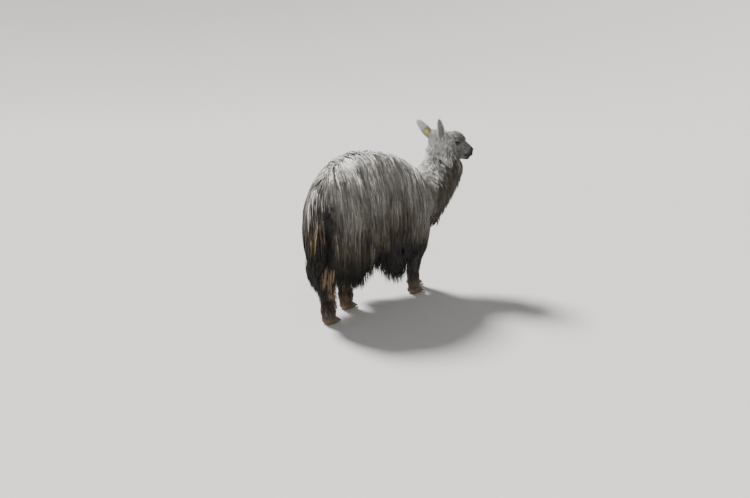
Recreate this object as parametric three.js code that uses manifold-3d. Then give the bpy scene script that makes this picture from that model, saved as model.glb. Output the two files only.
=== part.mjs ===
// A standing suri alpaca in full fleece, as a still, life-size model.
// Millimetres, +Z up, the animal faces -Y, its left side is +X.
// Each solid is the outer form of the coat, flesh or horn that it names.
//
// Shapes are laid out on a body plan: s runs forward from the right hind foot, l to the animal's
// left of its spine, z up from the ground. at(s, l, z) turns a place on the plan into the row frame.
import * as THREE from 'three';
import { LoftGeometry } from 'three/addons/geometries/LoftGeometry.js';
import { mergeVertices } from 'three/addons/utils/BufferGeometryUtils.js';
import Module from 'manifold-3d';

const wasm = await Module();
wasm.setup();

// ---------------------------------------------------------------- driving sizes
const ORIGIN_S = 483.3; // plan place of the row frame's origin
const ORIGIN_L = 0;
const GAP = 0.3; // clearance between pieces that touch
const BACK_HEIGHT = 895; // ground to the highest point of the fleece on the back
const HALF_WIDTH = 200; // widest half breadth of the fleece
const HEAD_YAW = THREE.MathUtils.degToRad(-17); // the head looks a little to its right
const HEAD_PITCH = THREE.MathUtils.degToRad(-15); // and the line of the face runs down
const EYE_RADIUS = 18;
const EAR_LENGTH = 142;
const TAG_RADIUS = 14;
const TAG_THICKNESS = 3;

const at = (s, l, z) => new THREE.Vector3(l - ORIGIN_L, ORIGIN_S - s, z);
const FORWARD = new THREE.Vector3(0, -1, 0);
const LEFT = new THREE.Vector3(1, 0, 0);
const UP = new THREE.Vector3(0, 0, 1);

// ---------------------------------------------------------------- colours
const COAT_PALE = { color: 0xb9b2ab, roughness: 0.75, metalness: 0 };
const COAT_DARK = { color: 0x5a4a40, roughness: 0.8, metalness: 0 };
const FACE = { color: 0x9d9792, roughness: 0.8, metalness: 0 };
const HORN = { color: 0x2a2522, roughness: 0.5, metalness: 0 };
const EYE = { color: 0x120d0b, roughness: 0.08, metalness: 0 };
const TAG = { color: 0xd8b62c, roughness: 0.4, metalness: 0 };

// ---------------------------------------------------------------- helpers
// A smooth curve through a short table of [place, value] rows.
function profile(rows) {
  const slope = (i) => {
    const a = rows[Math.max(i - 1, 0)];
    const b = rows[Math.min(i + 1, rows.length - 1)];
    return (b[1] - a[1]) / (b[0] - a[0]);
  };
  return (x) => {
    const last = rows.length - 2;
    let i = rows.findIndex((row, k) => k <= last && x <= rows[k + 1][0]);
    if (i < 0) i = last;
    const [x0, y0] = rows[i];
    const [x1, y1] = rows[i + 1];
    const h = x1 - x0;
    const t = THREE.MathUtils.clamp((x - x0) / h, 0, 1);
    const bend = t * t * (3 - 2 * t);
    const lead = t * (1 - t) * (1 - t) * h * slope(i);
    const trail = t * t * (1 - t) * h * slope(i + 1);
    return y0 + (y1 - y0) * bend + lead - trail;
  };
}

const power = (v, e) => Math.sign(v) * Math.abs(v) ** e;

// One closed cross-section: a superellipse with its own reach upwards and downwards.
function ring(centre, side, up, half, rise, drop, count, square = 2) {
  const points = [];
  for (let i = 0; i < count; i++) {
    const angle = (i / count) * 2 * Math.PI;
    const x = half * power(Math.sin(angle), 2 / square);
    const y = power(Math.cos(angle), 2 / square) * (Math.cos(angle) > 0 ? rise : drop);
    points.push(centre.clone().addScaledVector(side, x).addScaledVector(up, y));
  }
  return points;
}

function solid(geometry) {
  const bare = new THREE.BufferGeometry();
  bare.setAttribute('position', geometry.getAttribute('position'));
  bare.setIndex(geometry.index);
  const merged = mergeVertices(bare, 1e-3);
  const mesh = new wasm.Mesh({
    numProp: 3,
    vertProperties: merged.attributes.position.array,
    triVerts: new Uint32Array(merged.index.array),
  });
  return new wasm.Manifold(mesh);
}

// Skins a row of sections into a closed solid. LoftGeometry wants each section to turn
// counterclockwise seen from the loft's end, so sections that turn the other way are reversed.
function loft(sections) {
  const middle = sections.length >> 1;
  const [here, next] = [sections[middle - 1], sections[middle]];
  const turn = new THREE.Vector3();
  const run = new THREE.Vector3();
  here.forEach((p, i) => {
    const q = here[(i + 1) % here.length];
    turn.add(p.clone().sub(here[0]).cross(q.clone().sub(here[0])));
    run.add(next[i]).sub(p);
  });
  const ordered = turn.dot(run) > 0 ? sections : sections.map((one) => [...one].reverse());
  return solid(new LoftGeometry(ordered, { capStart: true, capEnd: true }));
}

// A limb or neck: rows of { p, half, rise, drop } along a smooth line, each across the line's run.
function limb(rows, count, steps, grow = 0, side = LEFT) {
  const line = new THREE.CatmullRomCurve3(rows.map((row) => row.p), false, 'centripetal');
  const along = rows.map((row, i) => i / (rows.length - 1));
  const size = (key) => profile(rows.map((row, i) => [along[i], row[key]]));
  const [half, rise, drop] = ['half', 'rise', 'drop'].map(size);
  const sections = [];
  for (let i = 0; i <= steps; i++) {
    const t = i / steps;
    const run = line.getTangent(t);
    const across = side.clone().addScaledVector(run, -side.dot(run)).normalize();
    const up = new THREE.Vector3().crossVectors(run, across).normalize();
    sections.push(ring(line.getPoint(t), across, up,
      half(t) + grow, rise(t) + grow, drop(t) + grow, count));
  }
  return loft(sections);
}

// Everything on the side of a plane that its normal points to, as a large block.
function halfSpace(point, normal, offset) {
  const size = 4000;
  const block = new THREE.BoxGeometry(size, size, size);
  block.translate(0, 0, size / 2 + offset);
  block.applyQuaternion(new THREE.Quaternion().setFromUnitVectors(UP, normal.clone().normalize()));
  block.translate(point.x, point.y, point.z);
  return solid(block);
}

// Parts a solid with a thin plane cut: [the piece in front of the plane, the piece behind it].
function part(whole, point, normal) {
  const back = normal.clone().negate();
  return [
    whole.intersect(halfSpace(point, normal, GAP / 2)),
    whole.intersect(halfSpace(point, back, GAP / 2)),
  ];
}

// A flat round disc between two planes across its axis.
function disc(centre, axis, radius, from, to, segments = 16) {
  const shape = new THREE.CylinderGeometry(radius, radius, to - from, segments);
  shape.translate(0, (from + to) / 2, 0);
  shape.applyQuaternion(new THREE.Quaternion().setFromUnitVectors(new THREE.Vector3(0, 1, 0), axis));
  shape.translate(centre.x, centre.y, centre.z);
  return solid(shape);
}

// ---------------------------------------------------------------- trunk
const TRUNK_REAR = -70;
const TRUNK_FRONT = 842;
const TRUNK_TOP = profile([[TRUNK_REAR, 620], [-45, 695], [0, 762], [80, 836], [170, 880],
  [310, BACK_HEIGHT], [450, 872], [580, 828], [690, 764], [770, 680], [TRUNK_FRONT, 540]]);
const TRUNK_HEM = profile([[TRUNK_REAR, 430], [-30, 330], [20, 235], [110, 158], [190, 200],
  [268, 290], [350, 118], [405, 92], [450, 116], [500, 186], [560, 212], [650, 222], [740, 236],
  [800, 290], [TRUNK_FRONT, 420]]);
const TRUNK_HALF = profile([[TRUNK_REAR, 60], [-40, 98], [20, 144], [110, 184], [300, HALF_WIDTH],
  [460, 197], [600, 182], [700, 144], [770, 98], [812, 68], [TRUNK_FRONT, 34]]);
const TRUNK_SHIFT = profile([[TRUNK_REAR, 0], [600, 0], [TRUNK_FRONT, 18]]); // the brisket's lean
const WIDEST_HEIGHT = profile([[TRUNK_REAR, 530], [100, 500], [400, 480], [TRUNK_FRONT, 490]]);
const TRUNK_STATIONS = 21;
const TRUNK_POINTS = 32;
// how far the coat under the belly hangs short of the curtains on the flanks
const HEM_NOTCH = profile([[TRUNK_REAR, 40], [110, 60], [268, 130], [400, 150], [500, 90],
  [650, 50], [TRUNK_FRONT, 20]]);
const LOCK_RIPPLE = 3.5; // depth of the flutes that the hanging locks make
const FLUTES = 11;

// Ragged lower edge: a repeatable, uneven wave along and across the hem.
const ragged = (s, l) => 9 * Math.sin(s * 0.061 + 1.7) * Math.cos(l * 0.043 + s * 0.017);

function trunkSection(s, grow, push) {
  const half = TRUNK_HALF(s) + grow;
  const middle = WIDEST_HEIGHT(s);
  const top = TRUNK_TOP(s) + grow;
  const hem = TRUNK_HEM(s) - grow;
  const points = [];
  for (let i = 0; i < TRUNK_POINTS; i++) {
    const angle = (i / TRUNK_POINTS) * 2 * Math.PI;
    const upper = Math.cos(angle) > 0;
    const square = upper ? 2.15 : 4;
    const flute = LOCK_RIPPLE * Math.sin(FLUTES * 2 * angle + s * 0.012) * Math.abs(Math.sin(angle));
    const l = (half + flute) * power(Math.sin(angle), 2 / square);
    const reach = power(Math.cos(angle), 2 / square);
    let z = middle + reach * (upper ? top - middle : middle - hem);
    if (!upper) {
      const low = reach ** 4;
      z += low * (HEM_NOTCH(s) * (1 - (l / half) ** 2) + ragged(s, l));
    }
    points.push(at(s + push, TRUNK_SHIFT(s) + l, z));
  }
  return points;
}

function trunkForm(grow = 0) {
  const sections = [];
  for (let i = 0; i <= TRUNK_STATIONS; i++) {
    const t = i / TRUNK_STATIONS;
    const eased = t + 0.075 * Math.sin(4 * Math.PI * t) / -Math.PI; // closer stations at the ends
    const push = grow * (Math.floor(t) - Math.floor(1 - t)); // the end faces move outwards
    sections.push(trunkSection(THREE.MathUtils.lerp(TRUNK_REAR, TRUNK_FRONT, eased), grow, push));
  }
  return loft(sections);
}

// ---------------------------------------------------------------- neck
const NECK_ROWS = [
  { p: at(684, -5, 520), half: 122, rise: 150, drop: 160 },
  { p: at(768, -18, 588), half: 130, rise: 142, drop: 180 },
  { p: at(836, -34, 668), half: 122, rise: 116, drop: 174 },
  { p: at(882, -46, 750), half: 116, rise: 94, drop: 184 },
  { p: at(894, -56, 806), half: 112, rise: 106, drop: 182 },
  { p: at(890, -60, 856), half: 88, rise: 114, drop: 116 },
  { p: at(880, -62, 896), half: 54, rise: 72, drop: 60 },
];
const neckForm = (grow = 0) => limb(NECK_ROWS, 24, 11, grow);

// ---------------------------------------------------------------- head
// The head's own frame: fore along the face, left across it, crown out of the forehead.
const HEAD_TURN = new THREE.Quaternion()
  .setFromAxisAngle(UP, HEAD_YAW)
  .multiply(new THREE.Quaternion().setFromAxisAngle(LEFT, -HEAD_PITCH));
const HEAD_ORIGIN = at(878, -62, 886); // middle of the skull, between the ears
const headPlace = (fore, left, crown) =>
  new THREE.Vector3(left, -fore, crown).applyQuaternion(HEAD_TURN).add(HEAD_ORIGIN);
const headWay = (fore, left, crown) =>
  new THREE.Vector3(left, -fore, crown).applyQuaternion(HEAD_TURN).normalize();
const HEAD_FRONT = 226;
// fore, half breadth, reach towards the crown, reach towards the jaw
const HEAD_ROWS = [
  [-74, 12, 10, 12], [-66, 36, 30, 34], [-48, 60, 50, 58], [-12, 74, 72, 78], [34, 77, 88, 88], [76, 68, 90, 88],
  [112, 58, 80, 80], [150, 47, 60, 74], [184, 41, 40, 70], [207, 36, 26, 62], [219, 28, 15, 48],
  [HEAD_FRONT, 12, 5, 24],
];
const headSize = (column) => profile(HEAD_ROWS.map((row) => [row[0], row[column]]));
const [HEAD_HALF, HEAD_RISE, HEAD_DROP] = [1, 2, 3].map(headSize);

function headForm(grow = 0) {
  const sections = [];
  const steps = 17;
  const first = HEAD_ROWS[0][0];
  for (let i = 0; i <= steps; i++) {
    const t = i / steps;
    const fore = THREE.MathUtils.lerp(first, HEAD_FRONT, 0.5 - 0.5 * Math.cos(Math.PI * t));
    sections.push(ring(headPlace(fore, 0, 0), headWay(0, 1, 0), headWay(0, 0, 1),
      HEAD_HALF(fore) + grow, HEAD_RISE(fore) + grow, HEAD_DROP(fore) + grow, 22, 2.2));
  }
  return loft(sections);
}

// Eyes sit on the sides of the skull, looking outwards and a little forward.
const eyePlace = (side) => headPlace(67, side * 58, 13);
function eyeball(side, grow = 0) {
  const ball = new THREE.SphereGeometry(EYE_RADIUS + grow, 12, 8);
  const centre = eyePlace(side);
  ball.translate(centre.x, centre.y, centre.z);
  return solid(ball);
}

// The opening in the hair round an eye: a short, round well, a little wider than the eyeball.
const EYE_WELL = 3;
const eyeWell = (side) => disc(eyePlace(side), headWay(0.3, side, 0.1), EYE_RADIUS + EYE_WELL, 4, 60, 12);

// The lower jaw: what lies under the line of the mouth, forward of the cheek.
const MOUTH_CORNER = 128;
const MOUTH_DROP = 34;
function jawBlock(grow) {
  const deep = 200;
  const long = 200;
  const block = new THREE.BoxGeometry(deep, long, deep);
  block.translate(0, -long / 2 - MOUTH_CORNER + grow, -deep / 2 - MOUTH_DROP + grow);
  block.applyQuaternion(HEAD_TURN);
  block.translate(HEAD_ORIGIN.x, HEAD_ORIGIN.y, HEAD_ORIGIN.z);
  return solid(block);
}

// ---------------------------------------------------------------- ears
// A spear-shaped ear, hollowed like a leaf, its opening turned outwards and forward.
const EAR_THICKNESS = 5;
const EAR_HALF = profile([[0, 19], [0.18, 25], [0.42, 27], [0.7, 21], [0.9, 12], [1, 4]]);
const EAR_HOLLOW = profile([[0, 17], [0.3, 15], [0.7, 8], [1, 1.5]]);
const EARS = {
  1: { run: new THREE.Vector3(50, 82, 112), turn: 0.75 },
  '-1': { run: new THREE.Vector3(-34, 62, 128), turn: 0 },
};
function earFrame(side) {
  const base = headPlace(-37, side * 56, 18);
  const run = EARS[side].run.clone().normalize();
  const open = headWay(EARS[side].turn, side, 0.1);
  open.addScaledVector(run, -open.dot(run)).normalize();
  const across = new THREE.Vector3().crossVectors(run, open);
  return { base, run, open, across };
}
const earPlace = (frame, t, x, depth) => frame.base.clone()
  .addScaledVector(frame.run, t * EAR_LENGTH)
  .addScaledVector(frame.open, depth - 9 * t * t)
  .addScaledVector(frame.across, x);

function earForm(side) {
  const frame = earFrame(side);
  const arc = 6;
  const sections = [];
  for (let i = 0; i <= 9; i++) {
    const t = i / 9;
    const half = EAR_HALF(t);
    const wall = EAR_THICKNESS * (1 - 0.55 * t);
    const back = [];
    const front = [];
    for (let j = 0; j <= arc; j++) {
      const x = -1 + (2 * j) / arc;
      const bowl = -EAR_HOLLOW(t) * (1 - x * x);
      back.push(earPlace(frame, t, x * half, bowl - wall / 2));
      front.unshift(earPlace(frame, t, x * half * 0.97, bowl + wall / 2));
    }
    sections.push([...back, ...front]);
  }
  return loft(sections);
}

// A round plastic tag on the back of the left ear, its stud on the inner face.
function earTag() {
  const frame = earFrame(1);
  const t = 0.34;
  const centre = earPlace(frame, t, 0, -EAR_HOLLOW(t));
  const back = frame.open.clone().negate();
  const wall = EAR_THICKNESS / 2 + 1.2;
  const button = disc(centre, back, TAG_RADIUS, wall, wall + TAG_THICKNESS);
  const pin = disc(centre, back, 2.5, -wall - 2, wall + 1, 8);
  const stud = disc(centre, back, 7, -wall - 4, -wall, 10);
  const hole = disc(centre, back, 2.5 + GAP, -wall - 6, wall + 1, 8);
  return { tag: button.add(pin), stud: stud.subtract(hole), hole };
}

// ---------------------------------------------------------------- tail
const TAIL_ROWS = [
  { p: at(-8, -20, 765), half: 34, rise: 30, drop: 26 },
  { p: at(-50, -34, 705), half: 58, rise: 34, drop: 28 },
  { p: at(-70, -50, 615), half: 78, rise: 40, drop: 34 },
  { p: at(-80, -60, 500), half: 88, rise: 44, drop: 42 },
  { p: at(-78, -58, 390), half: 97, rise: 42, drop: 46 },
  { p: at(-74, -58, 290), half: 78, rise: 34, drop: 36 },
  { p: at(-66, -62, 200), half: 14, rise: 10, drop: 8 },
];
const tailForm = () => limb(TAIL_ROWS, 14, 10);

// ---------------------------------------------------------------- legs
// Each leg is planned by its joints, from inside the trunk's coat down to the pastern.
const FORE_ROWS = (s, l) => [
  { p: at(s - 6, l * 1.25, 430), half: 52, rise: 62, drop: 62 },
  { p: at(s - 2, l * 1.12, 300), half: 47, rise: 52, drop: 54 },
  { p: at(s + 4, l * 1.04, 235), half: 41, rise: 44, drop: 46 },
  { p: at(s, l, 140), half: 36, rise: 36, drop: 42 },
  { p: at(s - 2, l, 62), half: 35, rise: 35, drop: 40 },
  { p: at(s + 8, l, 20), half: 31, rise: 31, drop: 35 },
];
const HIND_ROWS = (s, l) => [
  { p: at(s + 66, l * 1.3, 460), half: 66, rise: 104, drop: 90 },
  { p: at(s + 30, l * 1.2, 355), half: 60, rise: 100, drop: 72 },
  { p: at(s - 14, l * 1.08, 262), half: 50, rise: 84, drop: 60 },
  { p: at(s - 14, l * 1.02, 160), half: 44, rise: 80, drop: 44 },
  { p: at(s - 8, l, 70), half: 42, rise: 58, drop: 38 },
  { p: at(s + 4, l, 22), half: 36, rise: 36, drop: 50 },
];
const LEGS = [
  { name: 'fore_left', s: 772, l: 48, rows: FORE_ROWS, joint: 232 },
  { name: 'fore_right', s: 672, l: -56, rows: FORE_ROWS, joint: 232 },
  { name: 'hind_left', s: 213, l: 38, rows: HIND_ROWS, joint: 262 },
  { name: 'hind_right', s: 0, l: -60, rows: HIND_ROWS, joint: 262 },
];
const PASTERN_HEIGHT = 52;
const TOE_SPREAD = 15; // each toe's middle from the foot's middle
const TOE = { long: 44, half: 15.5, tall: 34 };

// One toe: a padded, slightly pointed form with a flat sole.
function toe(leg, side) {
  const shape = new THREE.SphereGeometry(1, 10, 6);
  shape.rotateX(Math.PI / 2);
  shape.scale(TOE.half, TOE.long, TOE.tall);
  const centre = at(leg.s + 14, leg.l + side * TOE_SPREAD, TOE.tall * 0.45);
  shape.translate(centre.x, centre.y, centre.z);
  return solid(shape);
}

// The curved nail that tips a toe.
function nail(leg, side, grow = 0) {
  const reach = leg.s + 14 + TOE.long;
  const l = leg.l + side * TOE_SPREAD;
  const rows = [
    { p: at(reach - 22, l, 16), half: 10, rise: 11, drop: 9 },
    { p: at(reach - 8, l, 14), half: 9.5, rise: 10, drop: 9 },
    { p: at(reach + 6, l, 10), half: 7, rise: 7, drop: 6 },
    { p: at(reach + 16, l, 6), half: 2.5, rise: 2.5, drop: 2.5 },
  ];
  return limb(rows, 8, 3, grow);
}

const legColumn = (leg, grow = 0) => limb(leg.rows(leg.s, leg.l), 13, 8, grow);

function legSolids(leg, trunkClear) {
  const column = legColumn(leg);
  const ground = halfSpace(at(0, 0, 0), UP, 0);
  const whole = column.subtract(trunkClear);
  const [upper, rest] = part(whole, at(leg.s, leg.l, leg.joint), UP);
  const toes = [toe(leg, -1), toe(leg, 1)];
  const [lower, pastern] = part(rest, at(leg.s, leg.l, PASTERN_HEIGHT), UP);
  const under = halfSpace(at(0, 0, PASTERN_HEIGHT - GAP / 2), UP.clone().negate(), 0);
  let foot = toes.reduce((a, b) => a.add(b), pastern).intersect(ground).intersect(under);
  const made = {};
  for (const [word, side] of [['left', 1], ['right', -1]]) {
    foot = foot.subtract(nail(leg, side, GAP));
    made[`nail_${leg.name}_${word}_toe`] = nail(leg, side);
  }
  made[`leg_${leg.name}_upper`] = upper;
  made[`leg_${leg.name}_lower`] = lower;
  made[`foot_${leg.name}`] = foot;
  return made;
}

// ---------------------------------------------------------------- assembly
const NECK_CUT = { p: at(762, -18, 580), n: new THREE.Vector3(0, -0.78, 0.62) };
const HEAD_CUT = { p: at(880, -58, 826), n: new THREE.Vector3(0, -0.3, 0.95) };

const headAndNeck = headForm().add(neckForm());
const [headWhole, neckWhole] = part(headAndNeck, HEAD_CUT.p, HEAD_CUT.n);
const torso = trunkForm().add(neckWhole);
const [neck, trunk] = part(torso, NECK_CUT.p, NECK_CUT.n);

const tag = earTag();
const headClear = headForm(GAP).add(neckForm(GAP));
let head = headWhole;
for (const side of [-1, 1]) head = head.subtract(eyeball(side, GAP)).subtract(eyeWell(side));
const jaw = head.intersect(jawBlock(-GAP));
head = head.subtract(jawBlock(0));

const pieces = {
  trunk: [trunk, COAT_PALE],
  neck: [neck, COAT_PALE],
  head: [head, FACE],
  lower_jaw: [jaw, FACE],
  ear_left: [earForm(1).subtract(headClear).subtract(tag.hole), FACE],
  ear_right: [earForm(-1).subtract(headClear), FACE],
  eye_left: [eyeball(1), EYE],
  eye_right: [eyeball(-1), EYE],
  ear_tag: [tag.tag, TAG],
  ear_tag_stud: [tag.stud, TAG],
};
const trunkClear = trunkForm(2 * GAP).add(neckForm(2 * GAP));
const tail = LEGS.reduce((form, leg) => form.subtract(legColumn(leg, GAP)), tailForm());
pieces.tail = [tail.subtract(trunkClear), COAT_DARK];
for (const leg of LEGS) {
  for (const [name, made] of Object.entries(legSolids(leg, trunkClear))) {
    pieces[name] = [made, name.startsWith('nail') ? HORN : COAT_DARK];
  }
}

// Keeps the largest body of a solid, without slivers that a cut may leave.
function wholeBody(made) {
  const bodies = made.decompose();
  return bodies.reduce((a, b) => (a.volume() > b.volume() ? a : b));
}

function geometryOf(made) {
  const mesh = wholeBody(made).getMesh();
  const geometry = new THREE.BufferGeometry();
  geometry.setAttribute('position', new THREE.BufferAttribute(mesh.vertProperties, 3));
  geometry.setIndex(new THREE.BufferAttribute(mesh.triVerts, 1));
  geometry.computeVertexNormals();
  return geometry;
}

const alpaca = new THREE.Group();
for (const [name, [made, finish]] of Object.entries(pieces)) {
  const mesh = new THREE.Mesh(geometryOf(made), new THREE.MeshStandardMaterial(finish));
  mesh.name = name;
  alpaca.add(mesh);
}

export default alpaca;
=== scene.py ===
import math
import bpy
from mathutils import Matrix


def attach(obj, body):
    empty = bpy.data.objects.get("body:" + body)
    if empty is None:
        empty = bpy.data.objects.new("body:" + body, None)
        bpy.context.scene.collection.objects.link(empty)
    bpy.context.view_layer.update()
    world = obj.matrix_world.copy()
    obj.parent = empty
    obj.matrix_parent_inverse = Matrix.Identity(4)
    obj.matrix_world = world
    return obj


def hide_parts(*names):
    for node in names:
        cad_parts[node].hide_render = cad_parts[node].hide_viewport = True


bl_info = {
    "name": "Suri Alpaca",
    "version": (1, 0, 0),
    "blender": (4, 5, 0),
    "location": "View3D > Sidebar > Alpaca",
    "description": "Skin, long locks, eyes, nails and ear tag of a standing suri alpaca, with its stage",
    "category": "Object",
}

import bmesh
import bpy
import numpy as np
from mathutils import Matrix, Vector
from mathutils.bvhtree import BVHTree
from mathutils.kdtree import KDTree

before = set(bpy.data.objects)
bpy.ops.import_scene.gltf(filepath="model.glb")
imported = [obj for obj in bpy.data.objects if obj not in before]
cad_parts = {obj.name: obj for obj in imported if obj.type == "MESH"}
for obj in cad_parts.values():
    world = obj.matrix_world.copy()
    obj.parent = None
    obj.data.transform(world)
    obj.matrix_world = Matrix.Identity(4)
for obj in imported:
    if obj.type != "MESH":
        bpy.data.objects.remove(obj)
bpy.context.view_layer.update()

# ---------------------------------------------------------------- body plan
# The plan: s runs forward from the right hind foot, l to the animal's left, z up, in metres.
ORIGIN_S = 0.4833


def plan(s, l, z):
    return np.array((l, ORIGIN_S - s, z), float)


LEG_NAMES = ("fore_left", "fore_right", "hind_left", "hind_right")
FLESH = ["trunk", "neck", "head", "lower_jaw", "ear_left", "ear_right", "tail"]
FLESH += [f"leg_{leg}_{part}" for leg in LEG_NAMES for part in ("upper", "lower")]
FLESH += [f"foot_{leg}" for leg in LEG_NAMES]


def on_side(chain, side):
    return [(s, side * l, z, r) for s, l, z, r in chain]


# Chains of (s, l, z, radius): the flesh under the fleece, limb by limb.
BACKBONE = [(0.040, 0, 0.640, 0.108), (0.110, 0, 0.690, 0.122), (0.200, 0, 0.706, 0.134),
            (0.310, 0, 0.711, 0.138), (0.450, 0, 0.693, 0.136), (0.580, 0, 0.653, 0.130),
            (0.680, -0.004, 0.606, 0.116)]
RIBS = [(0.130, 0.022, 0.600, 0.112), (0.220, 0.026, 0.604, 0.122), (0.320, 0.026, 0.590, 0.130),
        (0.450, 0.026, 0.570, 0.130), (0.580, 0.020, 0.552, 0.122), (0.690, 0.008, 0.540, 0.106)]
BREAST = [(0.690, -0.004, 0.545, 0.110), (0.760, -0.010, 0.520, 0.086)]
BARREL = [BACKBONE, RIBS, on_side(RIBS, -1), BREAST]
NECK = [
    [(0.690, -0.005, 0.570, 0.112), (0.768, -0.018, 0.615, 0.092), (0.836, -0.034, 0.682, 0.072),
     (0.880, -0.047, 0.752, 0.060), (0.892, -0.056, 0.806, 0.055), (0.888, -0.061, 0.856, 0.056)],
    [(0.730, -0.008, 0.540, 0.104), (0.806, -0.020, 0.590, 0.090), (0.878, -0.034, 0.655, 0.078),
     (0.926, -0.046, 0.724, 0.070), (0.946, -0.056, 0.776, 0.062), (0.935, -0.061, 0.822, 0.052)],
]
TAIL = [[(0.030, -0.010, 0.700, 0.045), (-0.012, -0.026, 0.690, 0.026), (-0.042, -0.042, 0.610, 0.021),
         (-0.055, -0.052, 0.500, 0.010)]]


def foreleg(s, l):
    side = math.copysign(1, l)
    shank = [(0.690, side * 0.055, 0.560, 0.078), (s - 0.010, l * 1.10, 0.440, 0.054),
             (s + 0.006, l, 0.300, 0.030), (s + 0.004, l, 0.262, 0.031), (s - 0.004, l, 0.225, 0.024),
             (s - 0.005, l, 0.130, 0.021), (s - 0.005, l, 0.078, 0.026), (s + 0.004, l, 0.040, 0.023)]
    return [shank, toe_chain(s, l, 1), toe_chain(s, l, -1)]


def hindleg(s, l, hip):
    side = math.copysign(1, l)
    shank = [(hip, side * 0.055, 0.620, 0.098), (s + 0.072, l * 1.20, 0.470, 0.076),
             (s + 0.026, l * 1.12, 0.360, 0.050), (s - 0.020, l * 1.04, 0.272, 0.031),
             (s - 0.012, l * 1.02, 0.240, 0.026), (s - 0.008, l, 0.140, 0.022),
             (s - 0.008, l, 0.080, 0.027), (s + 0.002, l, 0.040, 0.024)]
    return [shank, toe_chain(s, l, 1), toe_chain(s, l, -1)]


def toe_chain(s, l, side):
    toe = l + side * 0.0135
    return [(s - 0.014, toe, 0.024, 0.019), (s + 0.024, toe, 0.019, 0.0165), (s + 0.044, toe, 0.015, 0.012)]


LEGS = {
    "fore_left": foreleg(0.772, 0.048),
    "fore_right": foreleg(0.672, -0.056),
    "hind_left": hindleg(0.213, 0.038, 0.150),
    "hind_right": hindleg(0.000, -0.060, 0.075),
}

# The head's own frame: fore along the face, left across it, crown out of the forehead.
HEAD_TURN = Matrix.Rotation(math.radians(-17), 3, "Z") @ Matrix.Rotation(math.radians(15), 3, "X")
HEAD_AXES = np.array(HEAD_TURN @ Matrix(((0, 1, 0), (-1, 0, 0), (0, 0, 1))))
HEAD_PLACE = plan(0.878, -0.062, 0.886)
# fore, half breadth, reach to the crown, reach to the jaw, all in metres and of the bare skin
HEAD_ROWS = np.array([
    (-0.066, 0.022, 0.018, 0.022), (-0.048, 0.038, 0.026, 0.034), (-0.012, 0.050, 0.040, 0.050),
    (0.034, 0.056, 0.052, 0.062), (0.070, 0.055, 0.053, 0.066), (0.100, 0.050, 0.053, 0.068),
    (0.128, 0.047, 0.050, 0.069), (0.150, 0.042, 0.044, 0.068), (0.184, 0.037, 0.030, 0.065),
    (0.205, 0.033, 0.019, 0.058), (0.216, 0.026, 0.011, 0.046), (0.2205, 0.016, 0.004, 0.030)])


def head_place(fore, left, crown):
    return HEAD_PLACE + HEAD_AXES @ np.array((fore, left, crown), float)


def head_way(fore, left, crown):
    way = HEAD_AXES @ np.array((fore, left, crown), float)
    return way / np.linalg.norm(way)


def head_local(p):
    return (p - HEAD_PLACE) @ HEAD_AXES


EYE_RADIUS = 0.018
EYE_OPEN = (0.84, 0.56)  # half breadth and half height of the opening, in eye radii
EAR_LENGTH = 0.137
SIDES = ((1, "left"), (-1, "right"))


def face_edge(q):
    """How far forward the long fleece reaches on the head, at each height of it."""
    return np.interp(q[:, 2], (-0.07, -0.05, -0.025, 0.0, 0.03, 0.052),
                     (0.126, 0.104, 0.066, 0.042, 0.090, 0.132))


def almond(p):
    """The distance from the nearer eye's middle, one at the edge of its opening."""
    far = []
    for side in (1, -1):
        centre, axes = eye_frame(side)
        e = (p - centre) @ axes / EYE_RADIUS
        flat = np.hypot(e[:, 0] / EYE_OPEN[0], e[:, 1] / EYE_OPEN[1])
        far.append(np.hypot(flat, np.clip(-e[:, 2], 0, None) * 2))
    return np.minimum(*far)


def eye_distance(p):
    """The distance from the nearer eye's centre, in metres."""
    return np.min([np.linalg.norm(p - eye_frame(side)[0], axis=1) for side in (1, -1)], 0)


def eye_frame(side):
    """The eye's centre and its axes: along the lids, up, and out along the gaze."""
    gaze = head_way(0.30, side, 0.10)
    along = head_way(1, 0, -0.10)
    along = along - gaze * along.dot(gaze)
    along /= np.linalg.norm(along)
    up = np.cross(gaze, along) * side
    if up @ head_way(0, 0, 1) < 0:
        up = -up
    return head_place(0.067, side * 0.058, 0.013), np.stack((along, up, gaze), 1)


# ---------------------------------------------------------------- the flesh as a distance field
def soft_min(a, b, k):
    h = np.clip(0.5 + 0.5 * (b - a) / k, 0, 1)
    return b + (a - b) * h - k * h * (1 - h)


def soft_cut(a, b, k):
    return -soft_min(-a, b, k)


def cone_distance(p, a, b, ra, rb):
    a, b = np.asarray(a, float), np.asarray(b, float)
    run = b - a
    t = np.clip((p - a) @ run / (run @ run), 0, 1)
    return np.linalg.norm(p - a - t[:, None] * run, axis=1) - (ra + (rb - ra) * t)


def chain_distance(p, chain, blend):
    d = None
    for (s0, l0, z0, r0), (s1, l1, z1, r1) in zip(chain, chain[1:]):
        one = cone_distance(p, plan(s0, l0, z0), plan(s1, l1, z1), r0, r1)
        d = one if d is None else soft_min(d, one, blend)
    return d


def chains_distance(p, chains, blend, join, margin=0.13):
    """The distance to a limb; points far from it get a rough one."""
    rows = np.array([plan(*row[:3]) for chain in chains for row in chain])
    wide = max(row[3] for chain in chains for row in chain)
    beyond = np.maximum(np.maximum(rows.min(0) - wide - p, p - rows.max(0) - wide), 0)
    away = np.linalg.norm(beyond, axis=1)
    d = away + 0.02
    near = away < margin
    close, found = p[near], None
    for chain in chains:
        one = chain_distance(close, chain, blend)
        found = one if found is None else soft_min(found, one, join)
    d[near] = found
    return d


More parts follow.
